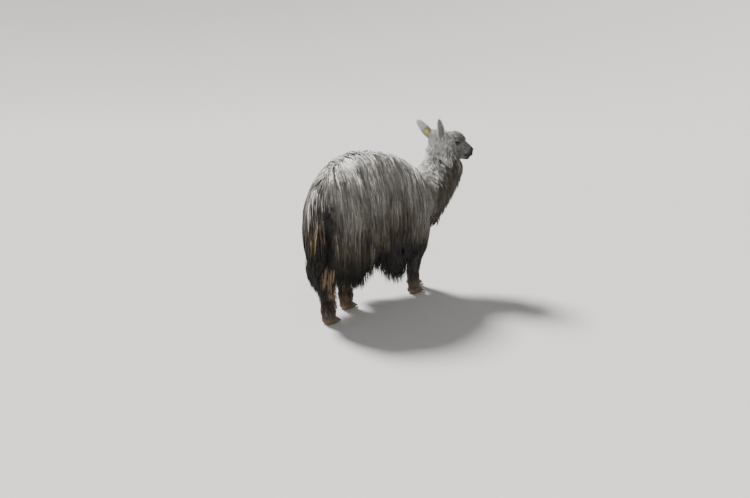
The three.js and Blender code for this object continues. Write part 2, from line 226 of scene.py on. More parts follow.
def blob_distance(q, centre, radii):
    r = np.asarray(radii, float)
    v = (q - np.asarray(centre, float)) / r
    k0 = np.linalg.norm(v, axis=1) + 1e-9
    k1 = np.linalg.norm(v / r, axis=1) + 1e-9
    return k0 * (k0 - 1) / k1


def skull_distance(q):
    """Round sections of changing breadth and depth along the head."""
    fore = np.clip(q[:, 0], HEAD_ROWS[0, 0], HEAD_ROWS[-1, 0])
    half, rise, drop = (np.interp(fore, HEAD_ROWS[:, 0], HEAD_ROWS[:, i]) for i in (1, 2, 3))
    tall = np.where(q[:, 2] > 0, rise, drop)
    power = 2.3
    g = ((np.abs(q[:, 1]) / half) ** power + (np.abs(q[:, 2]) / tall) ** power) ** (1 / power) + 1e-6
    r = np.hypot(q[:, 1], q[:, 2])
    radial = np.where(r > 1e-4, r * (1 - 1 / g), -half)
    beyond = np.abs(q[:, 0] - fore)
    return np.where(beyond > 0, np.hypot(np.maximum(radial, 0), beyond) + np.minimum(radial, 0), radial)


def head_distance(p):
    """The distance to the head; points far from it get a rough one."""
    away = np.linalg.norm(p - head_place(0.08, 0, -0.01), axis=1) - 0.20
    d = away + 0.04
    near = away < 0.10
    d[near] = head_form(p[near])
    return d


# how softly the mouth, the nostrils and the split of the lip are cut in
FOLD = 0.0022


def head_form(p):
    q = head_local(p)
    d = skull_distance(q)
    for side in (1, -1):
        orbit = blob_distance(q, (0.064, side * 0.043, 0.012), (0.034, 0.0255, 0.030))
        back, front = (0.095, side * 0.043, -0.010), (0.150, side * 0.034, -0.020)
        cheekbone = cone_distance(q, back, front, 0.011, 0.008)
        cheek = blob_distance(q, (0.040, side * 0.036, -0.038), (0.046, 0.024, 0.034))
        wing = blob_distance(q, (0.205, side * 0.0215, -0.006), (0.017, 0.013, 0.017))
        upper_lip = blob_distance(q, (0.202, side * 0.015, -0.026), (0.0225, 0.021, 0.018))
        for swelling, join in ((orbit, 0.010), (cheekbone, 0.014), (cheek, 0.016), (wing, 0.007),
                               (upper_lip, 0.006)):
            d = soft_min(d, swelling, join)
    chin = blob_distance(q, (0.196, 0, -0.052), (0.022, 0.022, 0.012))
    d = soft_min(d, chin, 0.006)
    for side in (1, -1):
        mouth = [(0.226, side * 0.002, -0.0395), (0.214, side * 0.022, -0.0405),
                 (0.190, side * 0.036, -0.0385), (0.166, side * 0.042, -0.0345),
                 (0.146, side * 0.045, -0.0285)]
        for a, b in zip(mouth, mouth[1:]):
            d = soft_cut(d, cone_distance(q, a, b, 0.0022, 0.0018), FOLD)
        nostril = [(0.2165, side * 0.0155, -0.014), (0.2125, side * 0.0235, -0.0045),
                   (0.2015, side * 0.0300, 0.0015)]
        for (a, b), r in zip(zip(nostril, nostril[1:]), (0.0036, 0.0030)):
            d = soft_cut(d, cone_distance(q, a, b, r, r * 0.7), FOLD)
    split_lip = cone_distance(q, (0.229, 0, -0.016), (0.226, 0, -0.040), 0.0020, 0.0030)
    d = soft_cut(d, split_lip, FOLD)
    for side in (1, -1):
        d = lidded_eye(d, p, side)
    return d


def lidded_eye(d, p, side):
    """Adds a thicker upper and a thinner lower lid over the ball, open along an almond."""
    centre, axes = eye_frame(side)
    e = (p - centre) @ axes
    r = np.linalg.norm(e, axis=1)
    lids = np.where(e[:, 1] > 0, 1.125, 1.085) * EYE_RADIUS
    d = soft_min(d, r - lids, 0.0045)
    droop = e[:, 1] + 0.10 * e[:, 0]
    breadth = np.hypot(e[:, 0] / EYE_OPEN[0], droop / EYE_OPEN[1]) - EYE_RADIUS
    opening = np.maximum(breadth * 0.62, np.maximum(0.94 * EYE_RADIUS - r, 0.002 - e[:, 2]))
    return soft_cut(d, opening, 0.0012)


def flesh_parts(p):
    """The distance to each part of the flesh, by name."""
    parts = {"trunk": chains_distance(p, BARREL, 0.05, 0.06),
             "neck": chains_distance(p, NECK, 0.03, 0.03),
             "tail": chains_distance(p, TAIL, 0.02, 0.02),
             "head": head_distance(p)}
    for name, chains in LEGS.items():
        parts[name] = chains_distance(p, chains, 0.016, 0.006)
    return parts


def flesh_distance(p):
    parts = flesh_parts(p)
    d = soft_min(parts["trunk"], parts["neck"], 0.06)
    for name in LEGS:
        d = soft_min(d, parts[name], 0.045 if name.startswith("hind") else 0.035)
    d = soft_min(d, parts["tail"], 0.03)
    d = soft_min(d, parts["head"], 0.022)
    return soft_cut(d, p[:, 2] - 0.0006, 0.002)


def slope(distance, p, reach=0.0012):
    """The field's value and its gradient at each point."""
    ways = np.array(((1, -1, -1), (-1, -1, 1), (-1, 1, -1), (1, 1, 1)), float)
    values = [distance(p + w * reach) for w in ways]
    g = sum(v[:, None] * w for v, w in zip(values, ways)) / (4 * reach)
    return sum(values) / 4, g


def unit(v):
    return v / np.maximum(np.linalg.norm(v, axis=1, keepdims=True), 1e-9)


def settle(co, distance, rounds=3, most=0.012):
    """Moves points along the field's slope until they lie on the flesh's surface."""
    for _ in range(rounds):
        d, g = slope(distance, co)
        move = d / np.maximum((g * g).sum(1), 0.2)
        co = co - g * np.clip(move, -most, most)[:, None]
    return co


# ---------------------------------------------------------------- meshes
def new_object(name, mesh):
    piece = bpy.data.objects.new(name, mesh)
    bpy.context.collection.objects.link(piece)
    return piece


def object_from_bmesh(name, bm):
    """A smooth-shaded object with its faces turned outwards."""
    mesh = bpy.data.meshes.new(name)
    bmesh.ops.recalc_face_normals(bm, faces=bm.faces)
    for face in bm.faces:
        face.smooth = True
    bm.to_mesh(mesh)
    bm.free()
    return new_object(name, mesh)


def applied(piece):
    """The piece with its modifiers made part of its mesh."""
    graph = bpy.context.evaluated_depsgraph_get()
    mesh = bpy.data.meshes.new_from_object(piece.evaluated_get(graph))
    old = piece.data
    piece.modifiers.clear()
    piece.data = mesh
    bpy.data.meshes.remove(old)
    mesh.name = piece.name
    return piece


def finished(piece, look, slot, *nodes):
    """Gives the piece its material and its ride on the body, and hides the CAD nodes that it stands for."""
    piece.data.materials.clear()
    piece.data.materials.append(look)
    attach(piece, "root")
    if nodes:
        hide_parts(*nodes)
    return piece


def rows_of(items, what, width, kind=float):
    """One value of every item of a mesh, as rows of an array."""
    values = np.empty(len(items) * width, kind)
    items.foreach_get(what, values)
    return values.reshape(-1, width)


def coordinates(mesh):
    return rows_of(mesh.vertices, "co", 3)


def paint(mesh, **fields):
    """Gives the mesh's points named numbers that materials read."""
    for name, values in fields.items():
        field = mesh.attributes.new(name, "FLOAT", "POINT")
        field.data.foreach_set("value", values.astype(np.float32))


def bmesh_places(bm):
    return np.array([v.co for v in bm.verts], float)


def place_verts(verts, co):
    for v, c in zip(verts, co):
        v.co = c


def smooth_verts(bm, verts):
    bmesh.ops.smooth_vert(bm, verts=verts, factor=0.5, use_axis_x=True, use_axis_y=True, use_axis_z=True)


def add_cone(bm, a, b, ra, rb):
    """A ball at each end and a tapered tube between them, as closed shapes that overlap."""
    a, b = Vector(a), Vector(b)
    turn = (b - a).to_track_quat("Z", "Y").to_matrix().to_4x4()
    for place, radius in ((a, ra), (b, rb)):
        bmesh.ops.create_icosphere(bm, subdivisions=2, radius=radius, matrix=Matrix.Translation(place))
    bmesh.ops.create_cone(bm, cap_ends=True, segments=14, radius1=ra, radius2=rb, depth=(b - a).length,
                          matrix=Matrix.Translation((a + b) / 2) @ turn)


def rough_body():
    """Overlapping balls, tubes and flattened balls where the flesh is."""
    bm = bmesh.new()
    for chain in BARREL + NECK + TAIL + [c for chains in LEGS.values() for c in chains]:
        for (s0, l0, z0, r0), (s1, l1, z1, r1) in zip(chain, chain[1:]):
            add_cone(bm, plan(s0, l0, z0), plan(s1, l1, z1), r0, r1)
    turn = Matrix(HEAD_AXES.tolist()).to_4x4()
    for i in range(15):
        fore = -0.050 + i * 0.0185
        half, rise, drop = (float(np.interp(fore, HEAD_ROWS[:, 0], HEAD_ROWS[:, k])) for k in (1, 2, 3))
        middle = Vector(head_place(fore, 0, (rise - drop) / 2))
        shape = Matrix.Translation(middle) @ turn @ Matrix.Diagonal((0.016, half, (rise + drop) / 2, 1))
        bmesh.ops.create_icosphere(bm, subdivisions=2, radius=1.0, matrix=shape)
    for side in (1, -1):
        bmesh.ops.create_icosphere(bm, subdivisions=2, radius=EYE_RADIUS * 1.05,
                                   matrix=Matrix.Translation(eye_frame(side)[0]))
    return object_from_bmesh("skin", bm)


def refine(bm, mask):
    """Halves every edge of the faces whose middle the mask picks."""
    centres = np.array([f.calc_center_median() for f in bm.faces], float)
    picked = mask(centres)
    edges = dict.fromkeys(e for f, pick in zip(bm.faces, picked) if pick for e in f.edges)
    bmesh.ops.subdivide_edges(bm, edges=list(edges), cuts=1, use_grid_fill=True)
    odd = [f for f in bm.faces if len(f.verts) > 4]
    bmesh.ops.triangulate(bm, faces=odd)


def relax(bm, rounds, mask=None):
    """Evens the mesh out, then puts it back on the flesh."""
    for _ in range(rounds):
        co = bmesh_places(bm)
        picked = np.flatnonzero(mask(co)) if mask else np.arange(len(co))
        bm.verts.ensure_lookup_table()
        verts = [bm.verts[i] for i in picked]
        smooth_verts(bm, verts)
        place_verts(verts, settle(np.array([v.co for v in verts], float), flesh_distance, 2))


def near_head(p):
    q = head_local(p)
    return (q[:, 0] > -0.05) & (q[:, 2] > -0.085) & (p[:, 2] > 0.78)


def near_head_or_foot(p):
    return near_head(p) | (p[:, 2] < 0.075)


def near_detail(p):
    """The muzzle and the surroundings of the eyes."""
    q = head_local(p)
    muzzle = (q[:, 0] > 0.150) & (q[:, 2] < 0.030) & (q[:, 2] > -0.075) & (p[:, 2] > 0.7)
    return muzzle | (eye_distance(p) < 0.031)


def near_edge(p):
    """Close to the rims of the lids, the mouth and the nostrils."""
    q = head_local(p)
    near = (q[:, 0] > 0.190) & (np.abs(q[:, 2] + 0.010) < 0.022)
    near |= (q[:, 0] > 0.140) & (np.abs(q[:, 2] + 0.037) < 0.009)
    for side in (1, -1):
        centre, axes = eye_frame(side)
        e = (p - centre) @ axes
        near |= (np.linalg.norm(e, axis=1) < 0.026) & (e[:, 2] > 0)
    return near & (p[:, 2] > 0.7)


# ---------------------------------------------------------------- ears
EAR_RUN = {1: (0.050, 0.082, 0.112), -1: (-0.034, 0.062, 0.128)}
EAR_TURN = {1: 0.75, -1: 0.0}
# part of the length, half breadth, depth of the bowl
EAR_ROWS = np.array([
    (-0.10, 0.012, 0.012), (0, 0.017, 0.0155), (0.12, 0.0215, 0.0155), (0.26, 0.0245, 0.0140),
    (0.42, 0.0245, 0.0115), (0.58, 0.0220, 0.0090), (0.74, 0.0190, 0.0065), (0.87, 0.0145, 0.0042),
    (0.95, 0.0100, 0.0026), (0.985, 0.0060, 0.0016)])
EAR_STEPS = 26
EAR_COLUMNS = 14
EAR_WALL = 0.0030


def ear_frame(side):
    """An ear's foot, and its ways along it, out of its opening and across it."""
    base = head_place(-0.037, side * 0.056, 0.018)
    run = np.array(EAR_RUN[side]) / np.linalg.norm(EAR_RUN[side])
    opening = head_way(EAR_TURN[side], side, 0.1)
    opening = opening - run * (opening @ run)
    opening /= np.linalg.norm(opening)
    return base, run, opening, np.cross(run, opening)


def ear_local(p, side):
    """Places in an ear's own frame, with how far along it they are and its half breadth there."""
    base, *ways = ear_frame(side)
    local = (p - base) @ np.stack(ways, 1)
    t = local[:, 0] / EAR_LENGTH
    return local, t, np.interp(t, EAR_ROWS[:, 0], EAR_ROWS[:, 1])


def ear_row(side, t):
    """Places across the ear: a bowl with its rims curled in, the whole bent back towards the tip."""
    base, run, opening, across = ear_frame(side)
    half, bowl = (float(np.interp(t, EAR_ROWS[:, 0], EAR_ROWS[:, k])) for k in (1, 2))
    row = []
    for j in range(EAR_COLUMNS + 1):
        x = -1 + 2 * j / EAR_COLUMNS
        curl = 0.0035 * abs(x) ** 6 * max(0.0, 1 - t)
        row.append(base + run * t * EAR_LENGTH
                   + opening * (-bowl * (1 - abs(x) ** 2.2) - 0.009 * t * t + curl)
                   + across * half * x * (1 - 0.10 * x * x))
    return row


def ear_shell(bm, side):
    """A leaf-shaped ear: a rim of edges extruded up the ear, then given its thickness."""
    rows = [ear_row(side, t) for t in np.linspace(EAR_ROWS[0, 0], EAR_ROWS[-1, 0], EAR_STEPS)]
    row = [bm.verts.new(c) for c in rows[0]]
    edges = [bm.edges.new(pair) for pair in zip(row, row[1:])]
    verts = list(row)
    for places in rows[1:]:
        grown = bmesh.ops.extrude_edge_only(bm, edges=edges)["geom"]
        above = {}
        for v in (g for g in grown if isinstance(g, bmesh.types.BMVert)):
            above.update((e.other_vert(v), v) for e in v.link_edges if e.other_vert(v) in row)
        row = [above[v] for v in row]
        place_verts(row, places)
        edges = [bm.edges.get(pair) for pair in zip(row, row[1:])]
        verts += row
    faces = list(dict.fromkeys(f for v in verts for f in v.link_faces))
    bmesh.ops.recalc_face_normals(bm, faces=faces)
    bmesh.ops.solidify(bm, geom=faces, thickness=EAR_WALL)


# ---------------------------------------------------------------- skin unwrap and roots
def put_in_order(verts, loops, co, rows):
    """Sorts these triangles and the corners of each by place, for Solidify gives them in any order."""
    reach = co[verts[rows]] @ np.array((1.0, 0.7, 0.4))
    order = np.argsort(reach.sum(1))
    turn = (reach.argmin(1)[order, None] + np.arange(3)) % 3
    for corners in (verts, loops):
        corners[rows] = corners[rows][order[:, None], turn]


class Skin:
    """The skin's triangles, their places, parts and unwrap, for planting locks."""

    def __init__(self, piece, ear_start):
        mesh = piece.data
        mesh.calc_loop_triangles()
        verts = rows_of(mesh.loop_triangles, "vertices", 3, np.int32)
        loops = rows_of(mesh.loop_triangles, "loops", 3, np.int32)
        co = coordinates(mesh)
        put_in_order(verts, loops, co, np.flatnonzero(verts.min(1) >= ear_start))
        self.corner = co[verts]
        self.normal = rows_of(mesh.vertices, "normal", 3)[verts]
        self.uv = rows_of(mesh.uv_layers["OFBake"].data, "uv", 2)[loops]
        self.centre = self.corner.mean(1)
        edges = self.corner[:, 1:] - self.corner[:, :1]
        self.area = 0.5 * np.linalg.norm(np.cross(edges[:, 0], edges[:, 1]), axis=1)
        self.way = unit(self.normal.mean(1))
        self.is_ear = verts.min(1) >= ear_start
        parts = flesh_parts(self.centre)
        self.names = list(parts)
        self.part = np.argmin(np.stack([parts[k] for k in self.names]), 0)
        self.head = head_local(self.centre)
        self.tree = BVHTree.FromPolygons(co.tolist(), verts.tolist())

    def is_part(self, *names):
        return np.isin(self.part, [self.names.index(n) for n in names]) & ~self.is_ear

    def roots(self, weight, count, rng):
        """Random places on the skin: points, normals and unwrap places."""
        p = weight * self.area
        steps = np.cumsum(p)
        picks = np.searchsorted(steps, (np.arange(count) + rng.random(count)) / count * steps[-1])
        picks = np.minimum(picks, len(p) - 1)
        a, b = rng.random(count), rng.random(count)
        flip = a + b > 1
        a[flip], b[flip] = 1 - a[flip], 1 - b[flip]
        w = np.stack((1 - a - b, a, b), 1)[:, :, None]
        return ((self.corner[picks] * w).sum(1), unit((self.normal[picks] * w).sum(1)),
                (self.uv[picks] * w).sum(1))


class Envelope:
    """The outer form of the fleece: the solids' outside, without the faces where they meet."""

    def __init__(self):
        shapes = {}
        for name in FLESH:
            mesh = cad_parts[name].data
            co = coordinates(mesh)
            faces = [tuple(p.vertices) for p in mesh.polygons]
            box = (co.min(0) - 0.002, co.max(0) + 0.002)
            shapes[name] = (co, faces, BVHTree.FromPolygons(co.tolist(), faces), box)
        verts, kept, start = [], [], 0
        for name, (co, faces, _, _) in shapes.items():
            others = [shape[2:] for other, shape in shapes.items() if other != name]
            for face in faces:
                c = co[list(face)].mean(0)
                if not any(self.touches(c, tree, box) for tree, box in others):
                    kept.append(tuple(i + start for i in face))
            verts += co.tolist()
            start += len(co)
        self.tree = BVHTree.FromPolygons(verts, kept)

    @staticmethod
    def touches(c, tree, box, reach=0.0012):
        low, high = box
        return (c > low).all() and (c < high).all() and tree.find_nearest(Vector(c), reach)[0] is not None

    def probe(self, p):
        """How far inside each point is, and the way out."""
        depth = np.empty(len(p))
        way = np.empty((len(p), 3))
        find = self.tree.find_nearest
        for i, c in enumerate(p.tolist()):
            spot, normal, _, gap = find(c)
            out = (spot[0] - c[0], spot[1] - c[1], spot[2] - c[2])
            inside = out[0] * normal[0] + out[1] * normal[1] + out[2] * normal[2] >= 0
            depth[i] = gap if inside else -gap
            way[i] = normal
        return depth, way


def smooth_step(lo, hi, x):
    t = np.clip((x - lo) / (hi - lo), 0, 1)
    return t * t * (3 - 2 * t)


def in_cleft(p):
    """The dark groove between the tail and the right haunch."""
    aside = np.abs(p[:, 0] + 0.098)
    return (aside < 0.017) & (p[:, 2] < 0.71 - 3.5 * aside) & (p[:, 2] > 0.38) & (p[:, 1] > 0.470)


def coat_depth(p):
    """The least room the fleece needs over the skin, by place."""
    q = head_local(p)
    depth = np.interp(p[:, 2], (0.035, 0.080, 0.40, 0.46), (0.0, 0.007, 0.010, 0.017))
    head = 0.008 * smooth_step(0.0, 0.030, face_edge(q) - q[:, 0])
    return np.where(np.linalg.norm(q, axis=1) < 0.25, np.minimum(depth, head), depth)


def spare_room(p):
    """How far the fleece may stand out over the solids: at throat, poll, brow and the top of the back."""
    q = head_local(p)
    _, y, z = p.T
    fore, _, crown = q.T
    throat = smooth_step(-0.40, -0.46, y) * smooth_step(0.72, 0.77, z) * smooth_step(0.86, 0.83, z)
    poll = smooth_step(0.012, 0.035, crown) * smooth_step(0.080, 0.05, fore)
    poll = poll * (np.linalg.norm(q, axis=1) < 0.16)
    brow = smooth_step(0.015, 0.030, crown) * smooth_step(0.075, 0.095, fore)
    brow = brow * smooth_step(0.150, 0.125, fore)
    back = smooth_step(0.80, 0.86, z) * (y > -0.2)
    return 0.015 * throat + 0.020 * poll + 0.010 * brow + 0.009 * back


PRESS_MOST = 0.022


def sink(bm, envelope):
    """Presses the skin in wherever it leaves the fleece too little room."""
    co = bmesh_places(bm)
    need = coat_depth(co)
    deep, way = envelope.probe(co)
    move = np.where(deep > -0.03, np.clip(need - deep, 0, PRESS_MOST), 0) * (need > 0)
    place_verts(bm.verts, co - way * move[:, None])
    moved = [v for v, m in zip(bm.verts, move) if m > 0.0005]
    for _ in range(3):
        smooth_verts(bm, moved)


# ---------------------------------------------------------------- locks
HEM_HEIGHT = 0.165     # the long locks end here at the latest
FLOOR_CLEAR = 0.0004   # the lowest that any hair reaches
SKIN_CLEAR = 0.0008    # how far short hair stays off the skin
FIELD_REACH = 0.002    # the step for measuring the flesh's slope under the hair
TIP_WIDTH = 0.04       # a lock's breadth at its tip, as a part of its width
BAKE_PATCH = 0.003     # the side of a lock's own patch in the skin's unwrap


def comb(roots, normals, length, layer, lay, envelope, stiff, lift, rise, steps, least):
    """Paths of locks: each leaves its root, finds its layer of the fleece and follows the lay.

    stiff is how much of its last direction a lock keeps, lift how steeply it leaves the skin, rise the
    part of its length in which it reaches its layer, and least the height where it ends at the latest.
    """
    p = roots.copy()
    paths = [p.copy()]
    d = unit(normals * lift + lay(p, normals))
    step = (length / steps)[:, None]
    ended = np.full(len(roots), float(steps))
    for k in range(1, steps + 1):
        dist, g = slope(flesh_distance, p, FIELD_REACH)
        g = unit(g)
        want = lay(p, g)
        inward = np.minimum((want * g).sum(1), 0)[:, None]
        want = unit(want - g * inward)
        d = unit(d * stiff + want * (1 - stiff))
        p = p + d * step
        dist = dist + (d * g).sum(1) * step[:, 0]
        if envelope is None:
            p = p + g * np.clip(SKIN_CLEAR - dist, 0, 0.002)[:, None]
            paths.append(p.copy())
            continue
        deep, way = envelope.probe(p)
        spare = spare_room(p)
        total = np.maximum(dist + deep, coat_depth(p)) + spare
        wish = total * (1 - layer * smooth_step(0, rise, k / steps)) - spare
        hold = np.clip((g[:, 2] + 0.45) / 0.35, 0, 1)
        move = np.clip((deep - wish) * 0.55, -0.45 * step[:, 0], 0.85 * step[:, 0]) * hold
        p = p + g * move[:, None]
        out = np.clip(0.001 - spare - (deep - move * (g * way).sum(1)), 0, None)
        # locks end a little under the hem, at their lowest height and in the groove beside the tail
        low = (way[:, 2] < -0.35) & (out > 0.001)
        over = np.clip(out / (step[:, 0] * 0.9), 0, 1)
        ended = np.where(low & (ended >= steps), k - over, ended)
        if least is not None:
            over = np.clip((least - p[:, 2]) / step[:, 0], 0, 1)
            ended = np.where((over > 0) & (ended >= steps), k - over, ended)
            ended = np.where(in_cleft(p) & (ended >= steps), k - 0.5, ended)
        push = np.where(low, 0, np.minimum(out, 1.2 * step[:, 0]))
        p = p - way * push[:, None]
        paths.append(p.copy())
    return np.stack(paths, 1), ended / steps


def resample(paths, ends, rings):
    """Each path's points again, evenly from its root to its end."""
    steps = paths.shape[1] - 1
    t = np.linspace(0, 1, rings)[None, :] * (ends * steps)[:, None]
    i = np.clip(np.floor(t).astype(int), 0, steps - 1)
    f = (t - i)[:, :, None]
    rows = np.arange(len(paths))[:, None]
    a, b = paths[rows, i], paths[rows, i + 1]
    before, after = paths[rows, np.maximum(i - 1, 0)], paths[rows, np.minimum(i + 2, steps)]
    return (a * (2 * f**3 - 3 * f**2 + 1) + b * (3 * f**2 - 2 * f**3)
            + (b - before) * 0.5 * (f**3 - 2 * f**2 + f) + (after - a) * 0.5 * (f**3 - f**2))


def clumps(roots, size, rng):
    """Which neighbour leads each lock's clump."""
    count = len(roots)
    heads = rng.permutation(count)[:max(1, int(count / size))]
    near = KDTree(len(heads))
    for i, head in enumerate(heads):
        near.insert(roots[head], i)
    near.balance()
    return np.array([heads[near.find(r)[1]] for r in roots])


def normed(v):
    return v / np.maximum(np.linalg.norm(v, axis=2, keepdims=True), 1e-9)


def lock_faces(rings):
    """A three-sided lock's triangles, closed at its root and its tip, with their unwrap across and along."""
    body = rings - 1
    tip = body * 3
    triangles, across, along = [], [], []
    for r in range(body - 1):
        for j in range(3):
            a, b = r * 3 + j, r * 3 + (j + 1) % 3
            triangles += [(a, b, b + 3), (a, b + 3, a + 3)]
            u0, u1 = j / 3, (j + 1) / 3
            v0, v1 = r / (rings - 1), (r + 1) / (rings - 1)
            across += [(u0, u1, u1), (u0, u1, u0)]
            along += [(v0, v0, v1), (v0, v1, v1)]
    r = body - 1
    for j in range(3):
        triangles.append((r * 3 + j, r * 3 + (j + 1) % 3, tip))
        across.append((j / 3, (j + 1) / 3, (j + 0.5) / 3))
        along.append((r / (rings - 1), r / (rings - 1), 1.0))
    triangles.append((0, 2, 1))
    across.append((0, 2 / 3, 1 / 3))
    along.append((0, 0, 0))
    return np.array(triangles, np.int32), np.stack((np.array(across), np.array(along)), -1).reshape(1, -1, 2)


def lock_mesh(name, paths, outward, width, shade, root_uv, rng, thick=0.5, wave=0.0, turns=2.0, leader=None):
    """One mesh of three-sided, tapered locks along the paths, with their shade and two unwraps."""
    count, rings, _ = paths.shape
    run = np.empty_like(paths)
    run[:, 1:-1] = paths[:, 2:] - paths[:, :-2]
    run[:, 0] = paths[:, 1] - paths[:, 0]
    run[:, -1] = paths[:, -1] - paths[:, -2]
    run = normed(run)
    out = normed(outward - run * (outward * run).sum(2, keepdims=True))
    side = np.cross(run, out)
    t = np.linspace(0, 1, rings)[None, :, None]
    if wave:
        phase, size = rng.random((2, count, 1, 1))
        if leader is not None:
            phase = phase[leader] + 0.18 * phase
            size = size[leader]
        phase = phase * 2 * np.pi
        size = wave * (0.3 + 1.2 * size) * smooth_step(0.05, 0.8, t)
        paths = paths + side * np.sin(phase + t * turns * 2 * np.pi) * size
        paths = paths + out * np.cos(phase * 1.7 + t * turns * 1.6 * np.pi) * size * 0.5
    spin = (rng.random((count, 1, 1)) - 0.5) * 1.3 + t * (rng.random((count, 1, 1)) - 0.5) * 1.2
    face = out * np.cos(spin) + side * np.sin(spin)
    edge = side * np.cos(spin) - out * np.sin(spin)
    shape = np.interp(t[0, :, 0], (0, 0.12, 0.45, 0.8, 1), (0.75, 1.0, 0.95, 0.55, TIP_WIDTH))[None, :, None]
    half = width[:, None, None] * 0.5 * shape
    ring = np.stack((paths - edge * half, paths + face * half * 2 * thick, paths + edge * half), 2)[:, :-1]
    points = (rings - 1) * 3 + 1
    co = np.concatenate((ring.reshape(count, points - 1, 3), paths[:, -1:]), 1).reshape(-1, 3)
    co[:, 2] = np.maximum(co[:, 2], FLOOR_CLEAR)
    triangles, unwrap = lock_faces(rings)
    faces = (triangles[None] + (np.arange(count, dtype=np.int32) * points)[:, None, None]).reshape(-1, 3)
    mesh = bpy.data.meshes.new(name)
    mesh.vertices.add(len(co))
    mesh.vertices.foreach_set("co", co.ravel())
    mesh.loops.add(faces.size)
    mesh.loops.foreach_set("vertex_index", faces.ravel())
    mesh.polygons.add(len(faces))
    mesh.polygons.foreach_set("loop_start", np.arange(0, faces.size, 3, dtype=np.int32))
    mesh.polygons.foreach_set("use_smooth", np.ones(len(faces), bool))
    mesh.update(calc_edges=True)
    bake = root_uv[:, None, :] + (unwrap - 0.5) * BAKE_PATCH
    strand = np.broadcast_to(unwrap, (count,) + unwrap.shape[1:]).copy()
    strand[:, :, 0] += (np.arange(count) * 3.0)[:, None]
    for label, places in (("OFBake", bake), ("strand", strand)):
        uv = mesh.uv_layers.new(name=label)
        uv.data.foreach_set("uv", np.ascontiguousarray(places, np.float32).ravel())
    paint(mesh, shade=np.repeat(shade, points))
    return mesh


# ---------------------------------------------------------------- shader helpers
class Value:
    """An output in a node tree, for writing its sums, products and ramps plainly."""

    def __init__(self, tree, socket):
        self.tree = tree
        self.socket = socket

    def maths(self, operation, *others):
        return value(self.tree, "ShaderNodeMath", self, *others, operation=operation)

    def __add__(self, other):
        return self.maths("ADD", other)

    def __sub__(self, other):
        return self.maths("SUBTRACT", other)

    def __mul__(self, other):
        return self.maths("MULTIPLY", other)

    def __abs__(self):
        return self.maths("ABSOLUTE")

    def rest(self):
        """What it lacks of one."""
        return value(self.tree, "ShaderNodeMath", 1.0, self, operation="SUBTRACT")

    def ramp(self, lo, hi, out_lo=0.0, out_hi=1.0, kind="SMOOTHSTEP"):
        return value(self.tree, "ShaderNodeMapRange", self, lo, hi, out_lo, out_hi, interpolation_type=kind)

    def split(self):
        made = node(self.tree, "ShaderNodeSeparateXYZ", self)
        return [Value(self.tree, socket) for socket in made.outputs]

    def grey(self):
        return value(self.tree, "ShaderNodeCombineXYZ", self, self, self)


def feed(socket, given):
    if isinstance(given, Value):
        given.tree.links.new(given.socket, socket)
    elif given is not None:
        socket.default_value = given


def node(tree, kind, *inputs, **settings):
    """A node with its settings; each input is a number, a Value to link, or None to leave."""
    made = tree.nodes.new(kind)
    for key, setting in settings.items():
        setattr(made, key, setting)
    for socket, given in zip(made.inputs, inputs):
        feed(socket, given)
    return made


def value(tree, kind, *inputs, output=0, **settings):
    """One output of a new node."""
    return Value(tree, node(tree, kind, *inputs, **settings).outputs[output])


def noise(place, scale, detail=2.0, rough=0.5):
    made = node(place.tree, "ShaderNodeTexNoise")
    for label, given in (("Vector", place), ("Scale", scale), ("Detail", detail), ("Roughness", rough)):
        feed(made.inputs[label], given)
    return Value(place.tree, made.outputs["Fac"])


def blend(factor, a, b, kind="MIX"):
    tree = next(given.tree for given in (factor, a, b) if isinstance(given, Value))
    made = node(tree, "ShaderNodeMix", data_type="RGBA", blend_type=kind)
    for at, given in ((0, factor), (6, a), (7, b)):
        feed(made.inputs[at], given)
    return Value(tree, made.outputs[2])


def stretched(place, scale=(1, 1, 1), rotation=(0, 0, 0), location=(0, 0, 0), kind="POINT"):
    made = node(place.tree, "ShaderNodeMapping", place, vector_type=kind)
    for label, given in (("Location", location), ("Rotation", rotation), ("Scale", scale)):
        made.inputs[label].default_value = given
    return Value(place.tree, made.outputs[0])


def in_head(place):
    """The place in the head's own frame: fore, left, crown."""
    return stretched(place, (1, 1, 1), HEAD_EULER, tuple(HEAD_PLACE), "TEXTURE")


def group(name, inputs, outputs):
    """A new node group with named sockets; returns its inputs as Values and its outputs' sockets."""
    tree = bpy.data.node_groups.new(name, "ShaderNodeTree")
    for label, kind, given in inputs:
        socket = tree.interface.new_socket(name=label, in_out="INPUT", socket_type=kind)
        if given is not None:
            socket.default_value = given
    for label, kind in outputs:
        tree.interface.new_socket(name=label, in_out="OUTPUT", socket_type=kind)
    start = tree.nodes.new("NodeGroupInput")
    taken = [Value(tree, start.outputs[label]) for label, _, _ in inputs]
    return taken, tree.nodes.new("NodeGroupOutput").inputs


def use(tree, shared, **inputs):
    """The outputs of a shared group placed in a material, by name."""
    made = tree.nodes.new("ShaderNodeGroup")
    made.node_tree = bpy.data.node_groups[shared]
    for label, given in inputs.items():
        feed(made.inputs[label], given)
    return {socket.name: Value(tree, socket) for socket in made.outputs}


NECK_LEAN = math.radians(-27)
NECK_MIDDLE = float((Matrix.Rotation(NECK_LEAN, 3, "X") @ Vector(plan(0.895, -0.05, 0.77)))[1])
HEAD_EULER = tuple(Matrix(HEAD_AXES.tolist()).to_euler())


